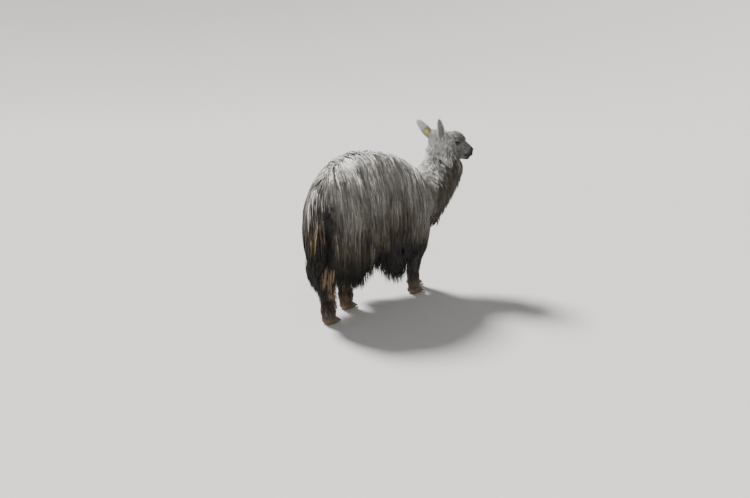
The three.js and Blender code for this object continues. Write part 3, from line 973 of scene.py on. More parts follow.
def markings_group(tones):
    """Where the fleece is pale, grey, brown, rust or black, over the whole animal."""
    (place, shade, limb, dock), outs = group("coat_markings", (
        ("Place", "NodeSocketVector", None), ("Shade", "NodeSocketFloat", 0.5),
        ("Limb", "NodeSocketFloat", 0.0), ("Dock", "NodeSocketFloat", 0.0)), [("Colour", "NodeSocketColor")])
    x, y, z = place.split()
    patch = noise(place, 7.0, 3.0) - 0.5
    streak = noise(stretched(place, (55, 55, 4)), 1.0) - 0.5
    own = shade - 0.5
    ragged = patch * 0.12 + (streak * 0.26 + own * 0.16)
    height = z + ragged
    # the belly's fringe goes dark higher up than the haunch and the shoulder
    belly = abs(y - 0.095).ramp(0.17, 0.05)
    front = y.ramp(-0.05, -0.22)
    low = height - belly * 0.075 + front * 0.07
    # partly the fleece's own colour and partly painted light: the top of the back is painted whiter where
    # the key light falls, and the flank greyer and the lower body darker as painted shade
    colour = blend(low.ramp(0.86, 0.62), tones["pale"], tones["grey"])
    colour = blend(low.ramp(0.785, 0.885), colour, tones["white"])
    colour = blend(low.ramp(0.60, 0.42), colour, tones["brown"])
    warm = patch + own * -0.5
    colour = blend(warm.ramp(0.0, 0.30) * 0.45, colour, tones["brown"])
    colour = neck_colour(place, (y, z, streak, own, height), colour, tones)
    colour = blend(low.ramp(0.47, 0.31), colour, tones["dark"])
    colour = tail_colour((x, y, z, streak, own, height, dock), colour, tones)
    # legs: black-brown with rust patches at the hocks, brightened there by a painted sunlit highlight, down
    # to tan feet
    hock_rust_and_highlight = y.ramp(0.10, 0.20) * abs(z - 0.245).ramp(0.10, 0.02)
    mottle = own * 0.50 + noise(stretched(place, (22, 22, 9)), 1.0, 3.0) + hock_rust_and_highlight * 0.44
    leg = blend(mottle.ramp(0.48, 0.82), tones["shin"], tones["rust"])
    leg = blend(front * 0.50, leg, tones["grey"])
    leg = blend((own * 0.07 + z).ramp(0.105, 0.005), leg, tones["tan"])
    colour = blend(limb, colour, leg)
    feed(outs[0], head_colour(place, patch, own, colour, tones))


def neck_colour(place, fields, colour, tones):
    """Pale behind, brown down the front of the neck and on the chest."""
    y, z, streak, own, height = fields
    lean = stretched(place, rotation=(NECK_LEAN, 0, 0)).split()[1]
    ahead = streak * 0.16 + (own * 0.10 + lean)
    neck = y.ramp(-0.22, -0.30) * z.ramp(0.60, 0.68)
    nape = ahead.ramp(NECK_MIDDLE + 0.035, NECK_MIDDLE + 0.075)
    throat = ahead.ramp(NECK_MIDDLE + 0.03, NECK_MIDDLE - 0.06) * height.ramp(0.92, 0.79)
    side = blend(throat * 0.86, blend(nape, tones["pale"], tones["white"]), tones["brown"])
    chest = y.ramp(-0.24, -0.31) * z.ramp(0.80, 0.66) * ahead.ramp(NECK_MIDDLE + 0.10, NECK_MIDDLE + 0.02)
    return blend(chest * 0.8, blend(neck, colour, side), tones["brown"])


def tail_colour(fields, colour, tones):
    """Rust streaks under a pale root, paler on the left side partly by a painted highlight, black at the
    tail's end and at its sides, and dark hair with painted shade in the groove beside it.
    """
    x, y, z, streak, own, height, dock = fields
    streaky = own * 0.12 + height
    rusty = own * 0.60 + (streak * 0.8 + 0.5)
    # partly pale hair and partly painted highlight: the tail's left side, where the key light falls, stays
    # paler than its rusty right side
    higher = x.ramp(-0.070, -0.035) * 0.075 + streaky
    tail = blend(rusty.ramp(0.48, 0.92), tones["brown"], tones["rust"])
    root = blend(higher.ramp(0.86, 0.72), tones["white"], tones["pale"])
    tail = blend(higher.ramp(0.755, 0.655), root, tail)
    tail = blend(streaky.ramp(0.61, 0.48), tail, tones["dark"])
    behind = y.ramp(0.520, 0.545) * x.ramp(0.0, -0.03) * z.ramp(0.36, 0.42)
    colour = blend(dock.maths("MAXIMUM", behind), colour, tail)
    # painted shade: the groove beside the tail and the tail's side next to it are darkened, over hair that
    # is dark there too
    cleft_dark_and_shade = abs(x + 0.100).ramp(0.032, 0.020) * y.ramp(0.480, 0.498) * y.ramp(0.545, 0.520)
    return blend(cleft_dark_and_shade * height.ramp(0.72, 0.66) * 0.9, colour, tones["dark"])


def head_colour(place, patch, own, colour, tones):
    """Grey on the face, near black at the nose, the lips and the rims of the lids."""
    tree = place.tree
    head = in_head(place)
    fore, _, crown = head.split()
    skull = value(tree, "ShaderNodeVectorMath", place, tuple(head_place(0.10, 0, 0)), operation="DISTANCE",
                  output="Value")
    high = skull.ramp(0.22, 0.19) * crown.ramp(-0.085, -0.065)
    brow = crown.ramp(0.010, 0.035) * fore.ramp(-0.01, 0.06)
    colour = blend(high * (brow * 0.45 + 0.40), colour, tones["pale"])
    fuzz = noise(head, 60.0, 3.0)
    grey = blend((own * 0.4 + fuzz).ramp(0.35, 0.7), tones["face"], tones["face_pale"])
    edge = abs(crown) * -0.9 + fore
    colour = blend(high * (patch * 0.05 + edge).ramp(0.010, 0.085), colour, grey)
    nose = ((fuzz - 0.5) * 0.03 + (crown * -0.20 + fore)).ramp(0.172, 0.204)
    lips = abs(crown + 0.039).ramp(0.013, 0.004) * fore.ramp(0.135, 0.165)
    colour = blend(nose.maths("MAXIMUM", lips) * high, colour, tones["nose"])
    for side in (1, -1):
        centre, axes = eye_frame(side)
        turn = Matrix((axes * (np.sign(np.linalg.det(axes)), 1, 1)).tolist()).to_euler()
        size = (EYE_OPEN[0] * EYE_RADIUS, EYE_OPEN[1] * EYE_RADIUS, 0.05)
        lid = stretched(place, size, tuple(turn), tuple(centre), "TEXTURE")
        gap = value(tree, "ShaderNodeVectorMath", lid, operation="LENGTH", output="Value")
        colour = blend(gap.ramp(1.34, 1.14), colour, tones["nose"])
    return colour


HAIR_OUTPUTS = [("Tone", "NodeSocketFloat"), ("Height", "NodeSocketFloat")]


def strand_group():
    """Fine hairs along a lock, from its own map: across in U, root to tip in V."""
    (strand, hairs), outs = group("lock_strands", (
        ("Map", "NodeSocketVector", None), ("Hairs", "NodeSocketFloat", 9.0)), HAIR_OUTPUTS)
    u, v, _ = strand.split()
    line = value(strand.tree, "ShaderNodeCombineXYZ", u * hairs, v * 1.4, 0.0)
    fine = noise(line, 1.0, 3.0, 0.7)
    feed(outs[0], fine.ramp(0.28, 0.72, 0.45, 1.35))
    feed(outs[1], fine)


def short_hair_group():
    """The relief of short, flat hair on bare skin, stretched down the limb or along the face."""
    (place,), outs = group("short_hair", [("Place", "NodeSocketVector", None)], HAIR_OUTPUTS)
    down = noise(stretched(place, (520, 520, 110)), 1.0, 2.0, 0.6)
    along = noise(stretched(in_head(place), (130, 620, 620)), 1.0, 2.0, 0.6)
    high = place.split()[2].ramp(0.80, 0.83)
    hair = high * along + high.rest() * down
    feed(outs[0], hair.ramp(0.25, 0.75, 0.70, 1.15))
    feed(outs[1], hair)


# ---------------------------------------------------------------- materials
def material(name, roughness=0.6, **constants):
    """A new material, its tree and its shader's sockets."""
    made = bpy.data.materials.new(name)
    made.use_nodes = True
    sockets = made.node_tree.nodes["Principled BSDF"].inputs
    sockets["Roughness"].default_value = roughness
    for label, given in constants.items():
        sockets[label.replace("_", " ")].default_value = given
    return made, made.node_tree, sockets


def object_place(tree):
    return value(tree, "ShaderNodeTexCoord", output="Object")


def own_map(tree, name):
    return value(tree, "ShaderNodeUVMap", uv_map=name)


def attribute(tree, name):
    return value(tree, "ShaderNodeAttribute", attribute_name=name, output="Fac")


def relief(sockets, height, distance, strength=1.0):
    """Bumps a shader's surface by the changes of a height."""
    bump = node(height.tree, "ShaderNodeBump")
    for label, given in (("Distance", distance), ("Strength", strength), ("Height", height)):
        feed(bump.inputs[label], given)
    feed(sockets["Normal"], Value(height.tree, bump.outputs[0]))


def coat_material(name, limb=0.0, dock=0.0, hairs=11.0, bump=0.0010):
    """The markings at each place, made lighter or darker by the lock's own shade and its hairs."""
    made, tree, sockets = material(name, 0.60, Sheen_Weight=0.08, Sheen_Roughness=0.45,
                                   Specular_IOR_Level=0.25)
    lines = use(tree, "lock_strands", Map=own_map(tree, "strand"), Hairs=hairs)
    shade = attribute(tree, "shade")
    marks = use(tree, "coat_markings", Place=object_place(tree), Shade=shade, Limb=limb, Dock=dock)["Colour"]
    tone = lines["Tone"] * shade.ramp(0.0, 1.0, 0.42, 1.58, "LINEAR")
    feed(sockets["Base Color"], blend(1.0, marks, tone.grey(), "MULTIPLY"))
    relief(sockets, lines["Height"], bump, 0.9)
    return made


HOLLOW_TONE = (0.13, 0.12, 0.11, 1)


def skin_material():
    made, tree, sockets = material("hide", 0.62, Specular_IOR_Level=0.35)
    place = object_place(tree)
    hair = use(tree, "short_hair", Place=place)
    marks = use(tree, "coat_markings", Place=place, Shade=0.5, Limb=attribute(tree, "limb"),
                Dock=attribute(tree, "dock"))["Colour"]
    marks = blend(attribute(tree, "hollow"), marks, HOLLOW_TONE)
    # painted shade: darkens the skin where the fleece covers it
    tone = hair["Tone"] * attribute(tree, "cover").ramp(0.0, 1.0, 1.0, 0.35, "LINEAR")
    feed(sockets["Base Color"], blend(1.0, marks, tone.grey(), "MULTIPLY"))
    # bare, finely pitted hide at the nose and lips
    head = in_head(place)
    fore = head.split()[0]
    bare = fore.ramp(0.203, 0.214)
    pits = noise(head, 900.0)
    relief(sockets, bare * (pits * 0.5) + bare.rest() * hair["Height"], 0.0012, 0.7)
    feed(sockets["Roughness"], fore.ramp(0.203, 0.216, 0.66, 0.42))
    return made


# ---------------------------------------------------------------- settings
def tint(name, description, *rgb):
    return bpy.props.FloatVectorProperty(name=name, description=description, size=4, subtype="COLOR",
                                         min=0, max=1, default=(*rgb, 1))


def amount(name, description, default, low=0.0, high=1.0):
    return bpy.props.FloatProperty(name=name, description=description, default=default, min=low, max=high,
                                   unit="LENGTH", precision=4)


def number(name, description, default):
    return bpy.props.IntProperty(name=name, description=description, default=default, min=1, max=20000)


class AlpacaColours(bpy.types.PropertyGroup):
    pale: tint("Pale fleece", "Back and nape", 0.31, 0.30, 0.288)
    white: tint("White fleece", "Head, nape and top of the back", 0.84, 0.83, 0.815)
    grey: tint("Grey fleece", "Flank", 0.135, 0.127, 0.117)
    brown: tint("Brown fleece", "Lower flank and streaks", 0.055, 0.044, 0.031)
    dark: tint("Dark fleece", "Hem, belly and end of the tail", 0.0055, 0.0048, 0.004)
    shin: tint("Shin fleece", "Lower legs", 0.016, 0.013, 0.0095)
    rust: tint("Rust fleece", "Tail streaks and lower legs", 0.215, 0.145, 0.090)
    tan: tint("Tan hair", "Feet", 0.19, 0.14, 0.095)
    face: tint("Face hair", "Short grey hair", 0.088, 0.086, 0.083)
    face_pale: tint("Pale face hair", "Lighter hairs in the face", 0.200, 0.197, 0.193)
    nose: tint("Nose and lips", "Bare dark hide", 0.022, 0.020, 0.020)
    tag: tint("Ear tag", "Plastic of the ear tag", 0.62, 0.44, 0.035)


class AlpacaCoat(bpy.types.PropertyGroup):
    flank_length: amount("Flank lock", "Length of the locks on back and flank", 0.24)
    neck_length: amount("Neck lock", "Length of the locks on the neck", 0.135)
    tail_length: amount("Tail lock", "Length of the locks on the tail", 0.27)
    leg_length: amount("Leg lock", "Length of the locks on the lower legs", 0.060)
    crown_length: amount("Crown lock", "Length of the locks on top of the head", 0.058)
    face_length: amount("Face hair", "Length of the tufts in the face", 0.010)
    lock_width: amount("Lock width", "Mean breadth of a flank lock", 0.0052)
    flank_count: number("Flank locks", "Locks on each flank", 4000)
    back_count: number("Back locks", "Locks along the top of the back", 3300)
    rump_count: number("Rump locks", "Locks on the rump and haunches", 3200)
    chest_count: number("Chest locks", "Locks on the chest and belly", 2200)
    neck_count: number("Neck locks", "Locks on the neck", 6000)
    tail_count: number("Tail locks", "Locks on the tail", 2100)
    leg_count: number("Leg locks", "Locks on each leg", 1600)
    foot_count: number("Foot tufts", "Short tufts on the four feet", 3500)
    crown_count: number("Crown locks", "Locks on the head behind the face", 4600)
    face_count: number("Face tufts", "Short tufts in the face", 9800)
    ear_count: number("Ear tufts", "Short tufts on each ear", 1900)
    lash_count: number("Lashes", "Lashes on each upper lid", 46)
    seed: bpy.props.IntProperty(name="Seed", description="Start of the random numbers", default=7, min=0)


class AlpacaBody(bpy.types.PropertyGroup):
    voxel: amount("Skin detail", "Size of the skin's first even mesh", 0.011, 0.004, 0.03)
    iris: amount("Iris", "Radius of the iris", 0.0128)


class AlpacaStage(bpy.types.PropertyGroup):
    floor_tone: bpy.props.FloatProperty(name="Floor", description="Lightness of the floor", default=0.64,
                                        min=0, max=1, subtype="FACTOR")
    key_power: bpy.props.FloatProperty(name="Key light", description="Light from behind, above and left",
                                       default=8.2, min=0)
    fill_power: bpy.props.FloatProperty(name="Fill light", description="Soft light from the camera's side",
                                        default=8.5, min=0, unit="POWER")
    eye_height: amount("Camera height", "Height of the camera over the floor", 1.59, 0.1, 3)


class Workshop:
    """What the operators share: the skin's roots, the fleece's outer form and the random numbers."""
    skin = None
    envelope = None
    rng = None


# ---------------------------------------------------------------- lays of the coat
DOWN = np.array((0.0, 0.0, -1.0))


def stacked(across, along, up):
    """Directions from three parts, each of them one number or one for every point."""
    return np.stack(np.broadcast_arrays(across, along, up), 1)


def spine_side(p):
    """Which side of the back's parting a point is on; the parting wanders a little."""
    parting = 0.010 * np.sin(190 * p[:, 1]) + 0.007 * np.sin(530 * p[:, 1] + 1)
    return np.tanh((p[:, 0] - parting) / 0.012)


def flank_lay(p, g):
    """From the parting on the spine out and down, swept a little backwards on the rump."""
    top = np.clip(g[:, 2], 0, 1) ** 2
    rump = np.clip((p[:, 1] - 0.30) / 0.20, 0, 1)
    out = spine_side(p) * (0.25 + 1.2 * top) * (1 - 0.45 * rump)
    return unit(stacked(out, 0.05 + 0.75 * rump * top, -1.0))


def neck_lay(p, g):
    """Down the sides of the neck, swept forward from the nape to the throat."""
    high = smooth_step(0.62, 0.86, p[:, 2])
    middle = np.interp(p[:, 2], (0.6, 0.75, 0.86), (-0.018, -0.047, -0.061))
    side = np.tanh((p[:, 0] - middle) / 0.015)
    nape = np.clip(g[:, 1], 0, 1)
    return unit(stacked(side * 0.7 * nape, -(0.18 + 0.42 * high), -1.0))


def tail_lay(p, g):
    return unit(DOWN + 0.16 * g * smooth_step(0.45, 0.75, p[:, 2])[:, None])


def leg_lay(p, g):
    return unit(DOWN + 0.10 * g)


def foot_lay(p, g):
    """Down the pastern and forward over the toes."""
    return unit(stacked(0.0, -0.9, np.interp(p[:, 2], (0.03, 0.07), (-0.7, -2.5))) + 0.25 * g)


def crown_lay(p, g):
    """Away from the brow over the skull, down over the cheeks."""
    fore, left, crown = head_local(p).T
    forelock = 0.6 * smooth_step(0.02, 0.045, crown) * smooth_step(0.0, 0.06, fore)
    along = np.interp(fore, (0.0, 0.09), (-0.55, -0.15)) + forelock
    way = stacked(along, np.tanh(left / 0.035) * 0.45, -0.25)
    return unit(way @ HEAD_AXES.T + np.array((0, 0, -0.55)))


def face_lay(p, g):
    """Back from the nose along the face."""
    left = head_local(p)[:, 1]
    return unit(stacked(-1.0, 0.15 * np.sign(left), -0.22) @ HEAD_AXES.T)


KEEP_WAY = 0.5      # how much of its last direction a lock keeps at each step
STRAY_PART = 0.04   # the part of the locks that stay out of their clump


def per_root(given, roots):
    return given(roots) if callable(given) else given


def coat_piece(name, weight, count, length, width, layer, lay, rings, look, slot, lift=0.8, rise=0.4,
               wave=0.0, turns=2.0, thick=0.5, inside=True, steps=14, clump=7, pull=0.55, depth=None,
               hem=None):
    """Plants, combs, gathers into clumps and shapes one piece of the coat.

    weight is where locks grow, layer how deep in the fleece they lie (1 at the skin), hem the height
    that they end at; length and width are numbers or rules for the roots. clump is how many locks
    gather, and pull how strongly.
    """
    skin, rng = Workshop.skin, Workshop.rng
    roots, normals, uv = skin.roots(weight, count, rng)
    lengths = per_root(length, roots) * (1 + 0.25 * (rng.random(count) - 0.6))
    low, high = layer
    layers = low + (high - low) * rng.random(count) ** 0.6
    if depth is not None:
        layers = layers * depth(roots)
    least = None if hem is None else hem + 0.05 * rng.random(count)
    paths, ends = comb(roots, normals, lengths, layers, lay, Workshop.envelope if inside else None,
                       KEEP_WAY, lift, rise, steps, least)
    # how far cut locks hang over the hem: more on the belly and the haunch
    behind = roots[:, 1]
    over = 0.034 + 0.026 * smooth_step(0.10, 0.18, behind)
    over = over + 0.016 * smooth_step(0.0, 0.05, behind) * smooth_step(0.22, 0.16, behind)
    cut = np.where(ends < 1, ends + (over - 0.055 * rng.random(count) ** 2) / lengths, ends)
    paths = resample(paths, np.clip(cut, 0.25, 1), rings)
    widths = per_root(width, roots) * (0.55 + 0.9 * rng.random(count))
    leader = clumps(roots, clump, rng)
    if pull:
        t = np.linspace(0, 1, rings)[None, :, None]
        strength = pull * (0.35 + rng.random((count, 1, 1))[leader])
        strength = strength * (rng.random((count, 1, 1)) > STRAY_PART)
        away = np.linalg.norm(paths[:, -1] - paths[leader, -1], axis=1)[:, None, None]
        strength = np.clip(strength, 0, 0.92) * smooth_step(0.12, 0.05, away)
        paths = paths + (paths[leader] - paths) * strength * t ** 1.4
    own = rng.normal(0, 1, count)
    shades = np.clip(0.5 + 0.13 * own + 0.17 * own[leader] + 0.22 * (layers - 0.5 * (low + high)), 0, 1)
    _, outward = slope(flesh_distance, paths.reshape(-1, 3), FIELD_REACH)
    mesh = lock_mesh(name, paths, unit(outward).reshape(paths.shape), widths, shades, uv, rng, thick=thick,
                     wave=wave, turns=turns, leader=leader)
    return finished(new_object(name, mesh), look, slot)


# ---------------------------------------------------------------- operators
def grown_skin(piece):
    """Turns the rough body into an even skin on the flesh, finer at the head, with its ears."""
    bm = bmesh.new()
    bm.from_mesh(piece.data)
    place_verts(bm.verts, settle(bmesh_places(bm), flesh_distance, 3))
    relax(bm, 2)
    for area, rounds, relaxed in ((near_head_or_foot, 2, None), (near_head, 1, near_head),
                                  (near_detail, 2, near_detail), (near_edge, 1, near_edge)):
        refine(bm, area)
        relax(bm, rounds, relaxed)
    Workshop.envelope = Envelope()
    sink(bm, Workshop.envelope)
    bmesh.ops.recalc_face_normals(bm, faces=bm.faces)
    ear_start = len(bm.verts)
    for side in (1, -1):
        ear_shell(bm, side)
    bm.verts.index_update()
    for face in bm.faces:
        face.smooth = True
    bm.to_mesh(piece.data)
    bm.free()
    return ear_start


def unwrap(context, piece):
    piece.data.uv_layers.new(name="OFBake")
    context.view_layer.objects.active = piece
    piece.select_set(True)
    bpy.ops.object.mode_set(mode="EDIT")
    bpy.ops.mesh.select_all(action="SELECT")
    bpy.ops.uv.smart_project(angle_limit=math.radians(66), island_margin=0.002)
    bpy.ops.object.mode_set(mode="OBJECT")
    piece.select_set(False)


def ear_hollow(co, normals, is_ear):
    """One inside the ears, fading out at their rims."""
    hollow = np.zeros(len(co))
    for side in (1, -1):
        opening = ear_frame(side)[2]
        local, _, half = ear_local(co, side)
        mine = is_ear & (np.sign(co[:, 0] - HEAD_PLACE[0]) == side)
        hollow += mine * (normals @ opening > 0.0) * smooth_step(0.98, 0.70, np.abs(local[:, 2]) / half)
    return hollow


def paint_skin(mesh, ear_start):
    """Marks limbs, the tail's root, the ears' insides and the painted shade on the skin where the fleece
    covers it.
    """
    co = coordinates(mesh)
    parts = flesh_parts(co)
    rest = np.minimum(parts["trunk"], parts["neck"])
    limbs = np.minimum.reduce([parts[k] for k in LEGS])
    is_ear = np.arange(len(co)) >= ear_start
    q = head_local(co)
    hairy = smooth_step(0.0, 0.02, face_edge(q) - q[:, 0])
    # painted shade: the skin is darkened under the fleece, less so on the top of the back
    cover = smooth_step(0.05, 0.10, co[:, 2]) * ~is_ear
    cover = cover * np.where(np.linalg.norm(q, axis=1) < 0.27, hairy, 1)
    paint(mesh,
          limb=smooth_step(-0.01, 0.02, rest - limbs) * smooth_step(0.50, 0.40, co[:, 2]),
          dock=smooth_step(-0.01, 0.02, rest - parts["tail"]),
          hollow=ear_hollow(co, rows_of(mesh.vertices, "normal", 3), is_ear),
          cover=cover * (1 - 0.75 * smooth_step(0.74, 0.86, co[:, 2])))


class ALPACA_OT_skin(bpy.types.Operator):
    """Makes the one skin of body, head, ears, tail and legs, and its unwrap"""
    bl_idname = "alpaca.skin"
    bl_label = "Skin"

    def execute(self, context):
        piece = rough_body()
        even = piece.modifiers.new("even", "REMESH")
        even.mode = "VOXEL"
        even.voxel_size = context.scene.alpaca_body.voxel
        applied(piece)
        ear_start = grown_skin(piece)
        unwrap(context, piece)
        paint_skin(piece.data, ear_start)
        finished(piece, skin_material(), "coat_pale", *FLESH)
        Workshop.skin = Skin(piece, ear_start)
        Workshop.rng = np.random.default_rng(context.scene.alpaca_coat.seed)
        return {"FINISHED"}


def cleft_depth(p):
    """Locks beside and behind the tail lie close, so that it hangs free of the haunches."""
    beside = smooth_step(0.045, 0.022, np.abs(p[:, 0] + 0.102))
    behind = smooth_step(0.100, 0.080, np.abs(p[:, 0] + 0.052))
    return 1 - 0.8 * np.maximum(beside, behind) * smooth_step(0.74, 0.68, p[:, 2]) * (p[:, 1] > 0.44)


class ALPACA_OT_trunk_coat(bpy.types.Operator):
    """Hangs the long locks of the back, flanks, rump, belly and chest"""
    bl_idname = "alpaca.trunk_coat"
    bl_label = "Trunk coat"

    def execute(self, context):
        coat = context.scene.alpaca_coat
        skin = Workshop.skin
        x, y, z = skin.centre.T
        body = skin.is_part("trunk") | (skin.is_part(*LEGS) & (z > 0.40))
        s = ORIGIN_S - y
        top = skin.way[:, 2] > 0.72
        rump = (s < 0.075) & ~top
        under = (skin.way[:, 2] < -0.55) | (s > 0.735)
        low = 1 + 0.8 * smooth_step(0.66, 0.52, z)
        withers = 1.5 * smooth_step(-0.10, -0.20, y)
        spine = 1.2 * smooth_step(0.035, 0.015, np.abs(x))
        shared = dict(rings=8, look=coat_material("long_fleece"), slot="coat_pale", width=coat.lock_width,
                      lay=flank_lay, wave=0.0036, turns=1.2, hem=HEM_HEIGHT)

        def flank_length(p):
            return coat.flank_length * (1 + 0.95 * smooth_step(0.66, 0.50, p[:, 2]))

        def back_length(p):
            return coat.flank_length * (0.95 - 0.60 * smooth_step(-0.10, -0.20, p[:, 1]))

        def chest_length(p):
            return coat.flank_length * (1.25 + 0.15 * smooth_step(-0.22, -0.28, p[:, 1]))

        for name, side in (("coat_flank_right", -1), ("coat_flank_left", 1)):
            pick = body & ~top & ~rump & ~under & (x * side > 0)
            coat_piece(name, pick * low, coat.flank_count, flank_length, layer=(0.35, 1.0), **shared)
        coat_piece("coat_back", (body & top) * (1 + withers + spine), coat.back_count, back_length,
                   layer=(0.55, 1.0), rise=0.16, lift=1.6, **shared)
        coat_piece("coat_rump", (body & rump) * low, coat.rump_count, flank_length, layer=(0.35, 1.0),
                   depth=cleft_depth, **shared)
        coat_piece("coat_belly", (body & under & ~top & ~rump) * 1.0, coat.chest_count, chest_length,
                   layer=(0.4, 1.0), **shared)
        return {"FINISHED"}


class ALPACA_OT_neck_coat(bpy.types.Operator):
    """Hangs the locks of the neck"""
    bl_idname = "alpaca.neck_coat"
    bl_label = "Neck coat"

    def execute(self, context):
        coat = context.scene.alpaca_coat
        skin = Workshop.skin
        z = skin.centre[:, 2]
        grown = skin.is_part("neck") * (1 + 0.8 * np.abs(skin.way[:, 1]))

        def neck_length(p):
            middle = np.interp(p[:, 2], (0.57, 0.68, 0.75, 0.81), (-0.207, -0.353, -0.397, -0.409))
            nape = smooth_step(0.0, 0.04, p[:, 1] - middle)
            return coat.neck_length * (1 + 0.5 * smooth_step(0.75, 0.58, p[:, 2])) * (1 - 0.70 * nape)

        for name, half in (("coat_neck_low", z < 0.70), ("coat_neck_high", z >= 0.70)):
            coat_piece(name, grown * half, coat.neck_count // 2, neck_length, coat.lock_width * 0.76,
                       (0.35, 1.0), neck_lay, 7, bpy.data.materials["long_fleece"], "coat_pale",
                       lift=1.3, rise=0.5, wave=0.0030, turns=1.0)
        return {"FINISHED"}


class ALPACA_OT_head_coat(bpy.types.Operator):
    """Plants the crown's locks, the cheeks, the face's short tufts, the ears' hair and the lashes"""
    bl_idname = "alpaca.head_coat"
    bl_label = "Head coat"

    def execute(self, context):
        coat = context.scene.alpaca_coat
        skin = Workshop.skin
        look = coat_material("short_fleece", hairs=5.0, bump=0.0003)
        fore, left, crown = skin.head.T
        head = skin.is_part("head")
        edge = face_edge(skin.head) + 0.016 * (Workshop.rng.random(len(fore)) - 0.5)
        long = head & (fore < edge) & (eye_distance(skin.centre) > 0.030)
        middle = 1 + 1.3 * smooth_step(0.022, 0.008, np.abs(left)) * (crown > 0)

        def crown_length(p):
            q = head_local(p)
            length = 0.32 + 0.55 * smooth_step(0.0, 0.080, face_edge(q) - q[:, 0])
            length = np.maximum(length, 1.25 * smooth_step(-0.030, -0.060, q[:, 2]))
            poll = 0.30 * smooth_step(0.055, 0.020, q[:, 0])
            forelock = 0.18 * smooth_step(0.080, 0.100, q[:, 0])
            length = length + smooth_step(0.010, 0.030, q[:, 2]) * (poll + forelock)
            return coat.crown_length * length * (0.35 + 0.65 * smooth_step(0.028, 0.060, eye_distance(p)))

        coat_piece("coat_crown", long * middle, coat.crown_count, crown_length, 0.0030, (0.25, 1.0),
                   crown_lay, 6, look, "coat_pale", lift=1.1, rise=0.7, wave=0.0022, turns=0.7, steps=10,
                   clump=6, pull=0.7)
        pad = (fore > 0.203) & (crown > -0.019) & (crown < 0.003) & (np.abs(left) < 0.027)
        mouth = (np.abs(crown + 0.0395) < 0.0018) & (fore > 0.15)
        short = head & ~long & (almond(skin.centre) > 1.32) & ~pad & ~mouth
        finer = 0.42 + 0.58 * smooth_step(0.17, 0.05, fore) + 1.1 * smooth_step(0.175, 0.195, fore)

        def face_length(p):
            along = head_local(p)[:, 0]
            return coat.face_length * (1 + 0.8 * smooth_step(0.13, 0.06, along)
                                       - 0.5 * smooth_step(0.165, 0.195, along))

        coat_piece("coat_face", short * finer, coat.face_count, face_length, 0.0014, (0.0, 0.5),
                   face_lay, 4, look, "face_coat", lift=0.42, rise=1.0, steps=4,
                   inside=False, thick=0.35, clump=5, pull=0.0)
        for side, word in SIDES:
            ear_coat(f"coat_ear_{word}", side, coat.ear_count, look)
        look = lash_material()
        for side, word in SIDES:
            lashes(f"lashes_{word}", side, coat.lash_count, look)
        return {"FINISHED"}


def ear_coat(name, side, count, look):
    """Short hair up the back of an ear, a longer fringe on its rim and sparse hair inside."""
    skin, rng = Workshop.skin, Workshop.rng
    _, run, opening, across = ear_frame(side)
    local, t, half = ear_local(skin.centre, side)
    far = np.linalg.norm(local, axis=1)
    mine = skin.is_ear & (far < 0.17) & (np.abs(local[:, 2]) < 0.035)
    mine &= np.linalg.norm(skin.centre - ear_frame(-side)[0], axis=1) > far
    rim = np.abs(local[:, 2]) > half * 0.80
    inner = (skin.way @ opening > 0.1) & ~rim
    weight = mine * np.where(rim, 3.2, np.where(inner, 0.35, 1.0)) * (t > -0.02)
    roots, normals, uv = skin.roots(weight, count, rng)
    place, t, half = ear_local(roots, side)
    x = place[:, 2] / half
    on_rim = np.abs(x) > 0.80
    inner = (normals @ opening > 0.1) & ~on_rim
    length = np.where(on_rim, 0.016, 0.012) * (0.6 + 0.7 * rng.random(count)) * (1.2 - 0.85 * t)
    lean = normals * np.where(on_rim, 0.25, 0.30)[:, None]
    lean = lean + across * (np.sign(x) * np.where(on_rim, 0.75, 0.10))[:, None]
    lean = lean + opening * np.where(on_rim, 0.15, 0.0)[:, None]
    way = unit(run * 1.0 + lean + 0.20 * rng.normal(size=(count, 3)))
    k = np.linspace(0, 1, 4)[None, :, None]
    paths = roots[:, None, :] + way[:, None, :] * k * length[:, None, None]
    paths = paths + (run - way)[:, None, :] * k * k * (length * 0.35)[:, None, None]
    # rim hair is paler, partly white hair and partly painted light shining through the thin rims
    shades = np.clip(rng.normal(0.30, 0.14, count) - 0.12 * inner + 0.25 * on_rim, 0, 1)
    outward = np.broadcast_to(normals[:, None, :], paths.shape)
    widths = 0.0016 * (0.7 + 0.6 * rng.random(count))
    mesh = lock_mesh(name, paths, outward, widths, shades, uv, rng, 0.4)
    finished(new_object(name, mesh), look, "face_coat")


def lash_material():
    made, tree, sockets = material("lash", 0.45)
    tone = use(tree, "lock_strands", Map=own_map(tree, "strand"), Hairs=4.0)["Tone"]
    feed(sockets["Base Color"], blend(tone, (0.010, 0.008, 0.007, 1), (0.035, 0.028, 0.022, 1)))
    return made


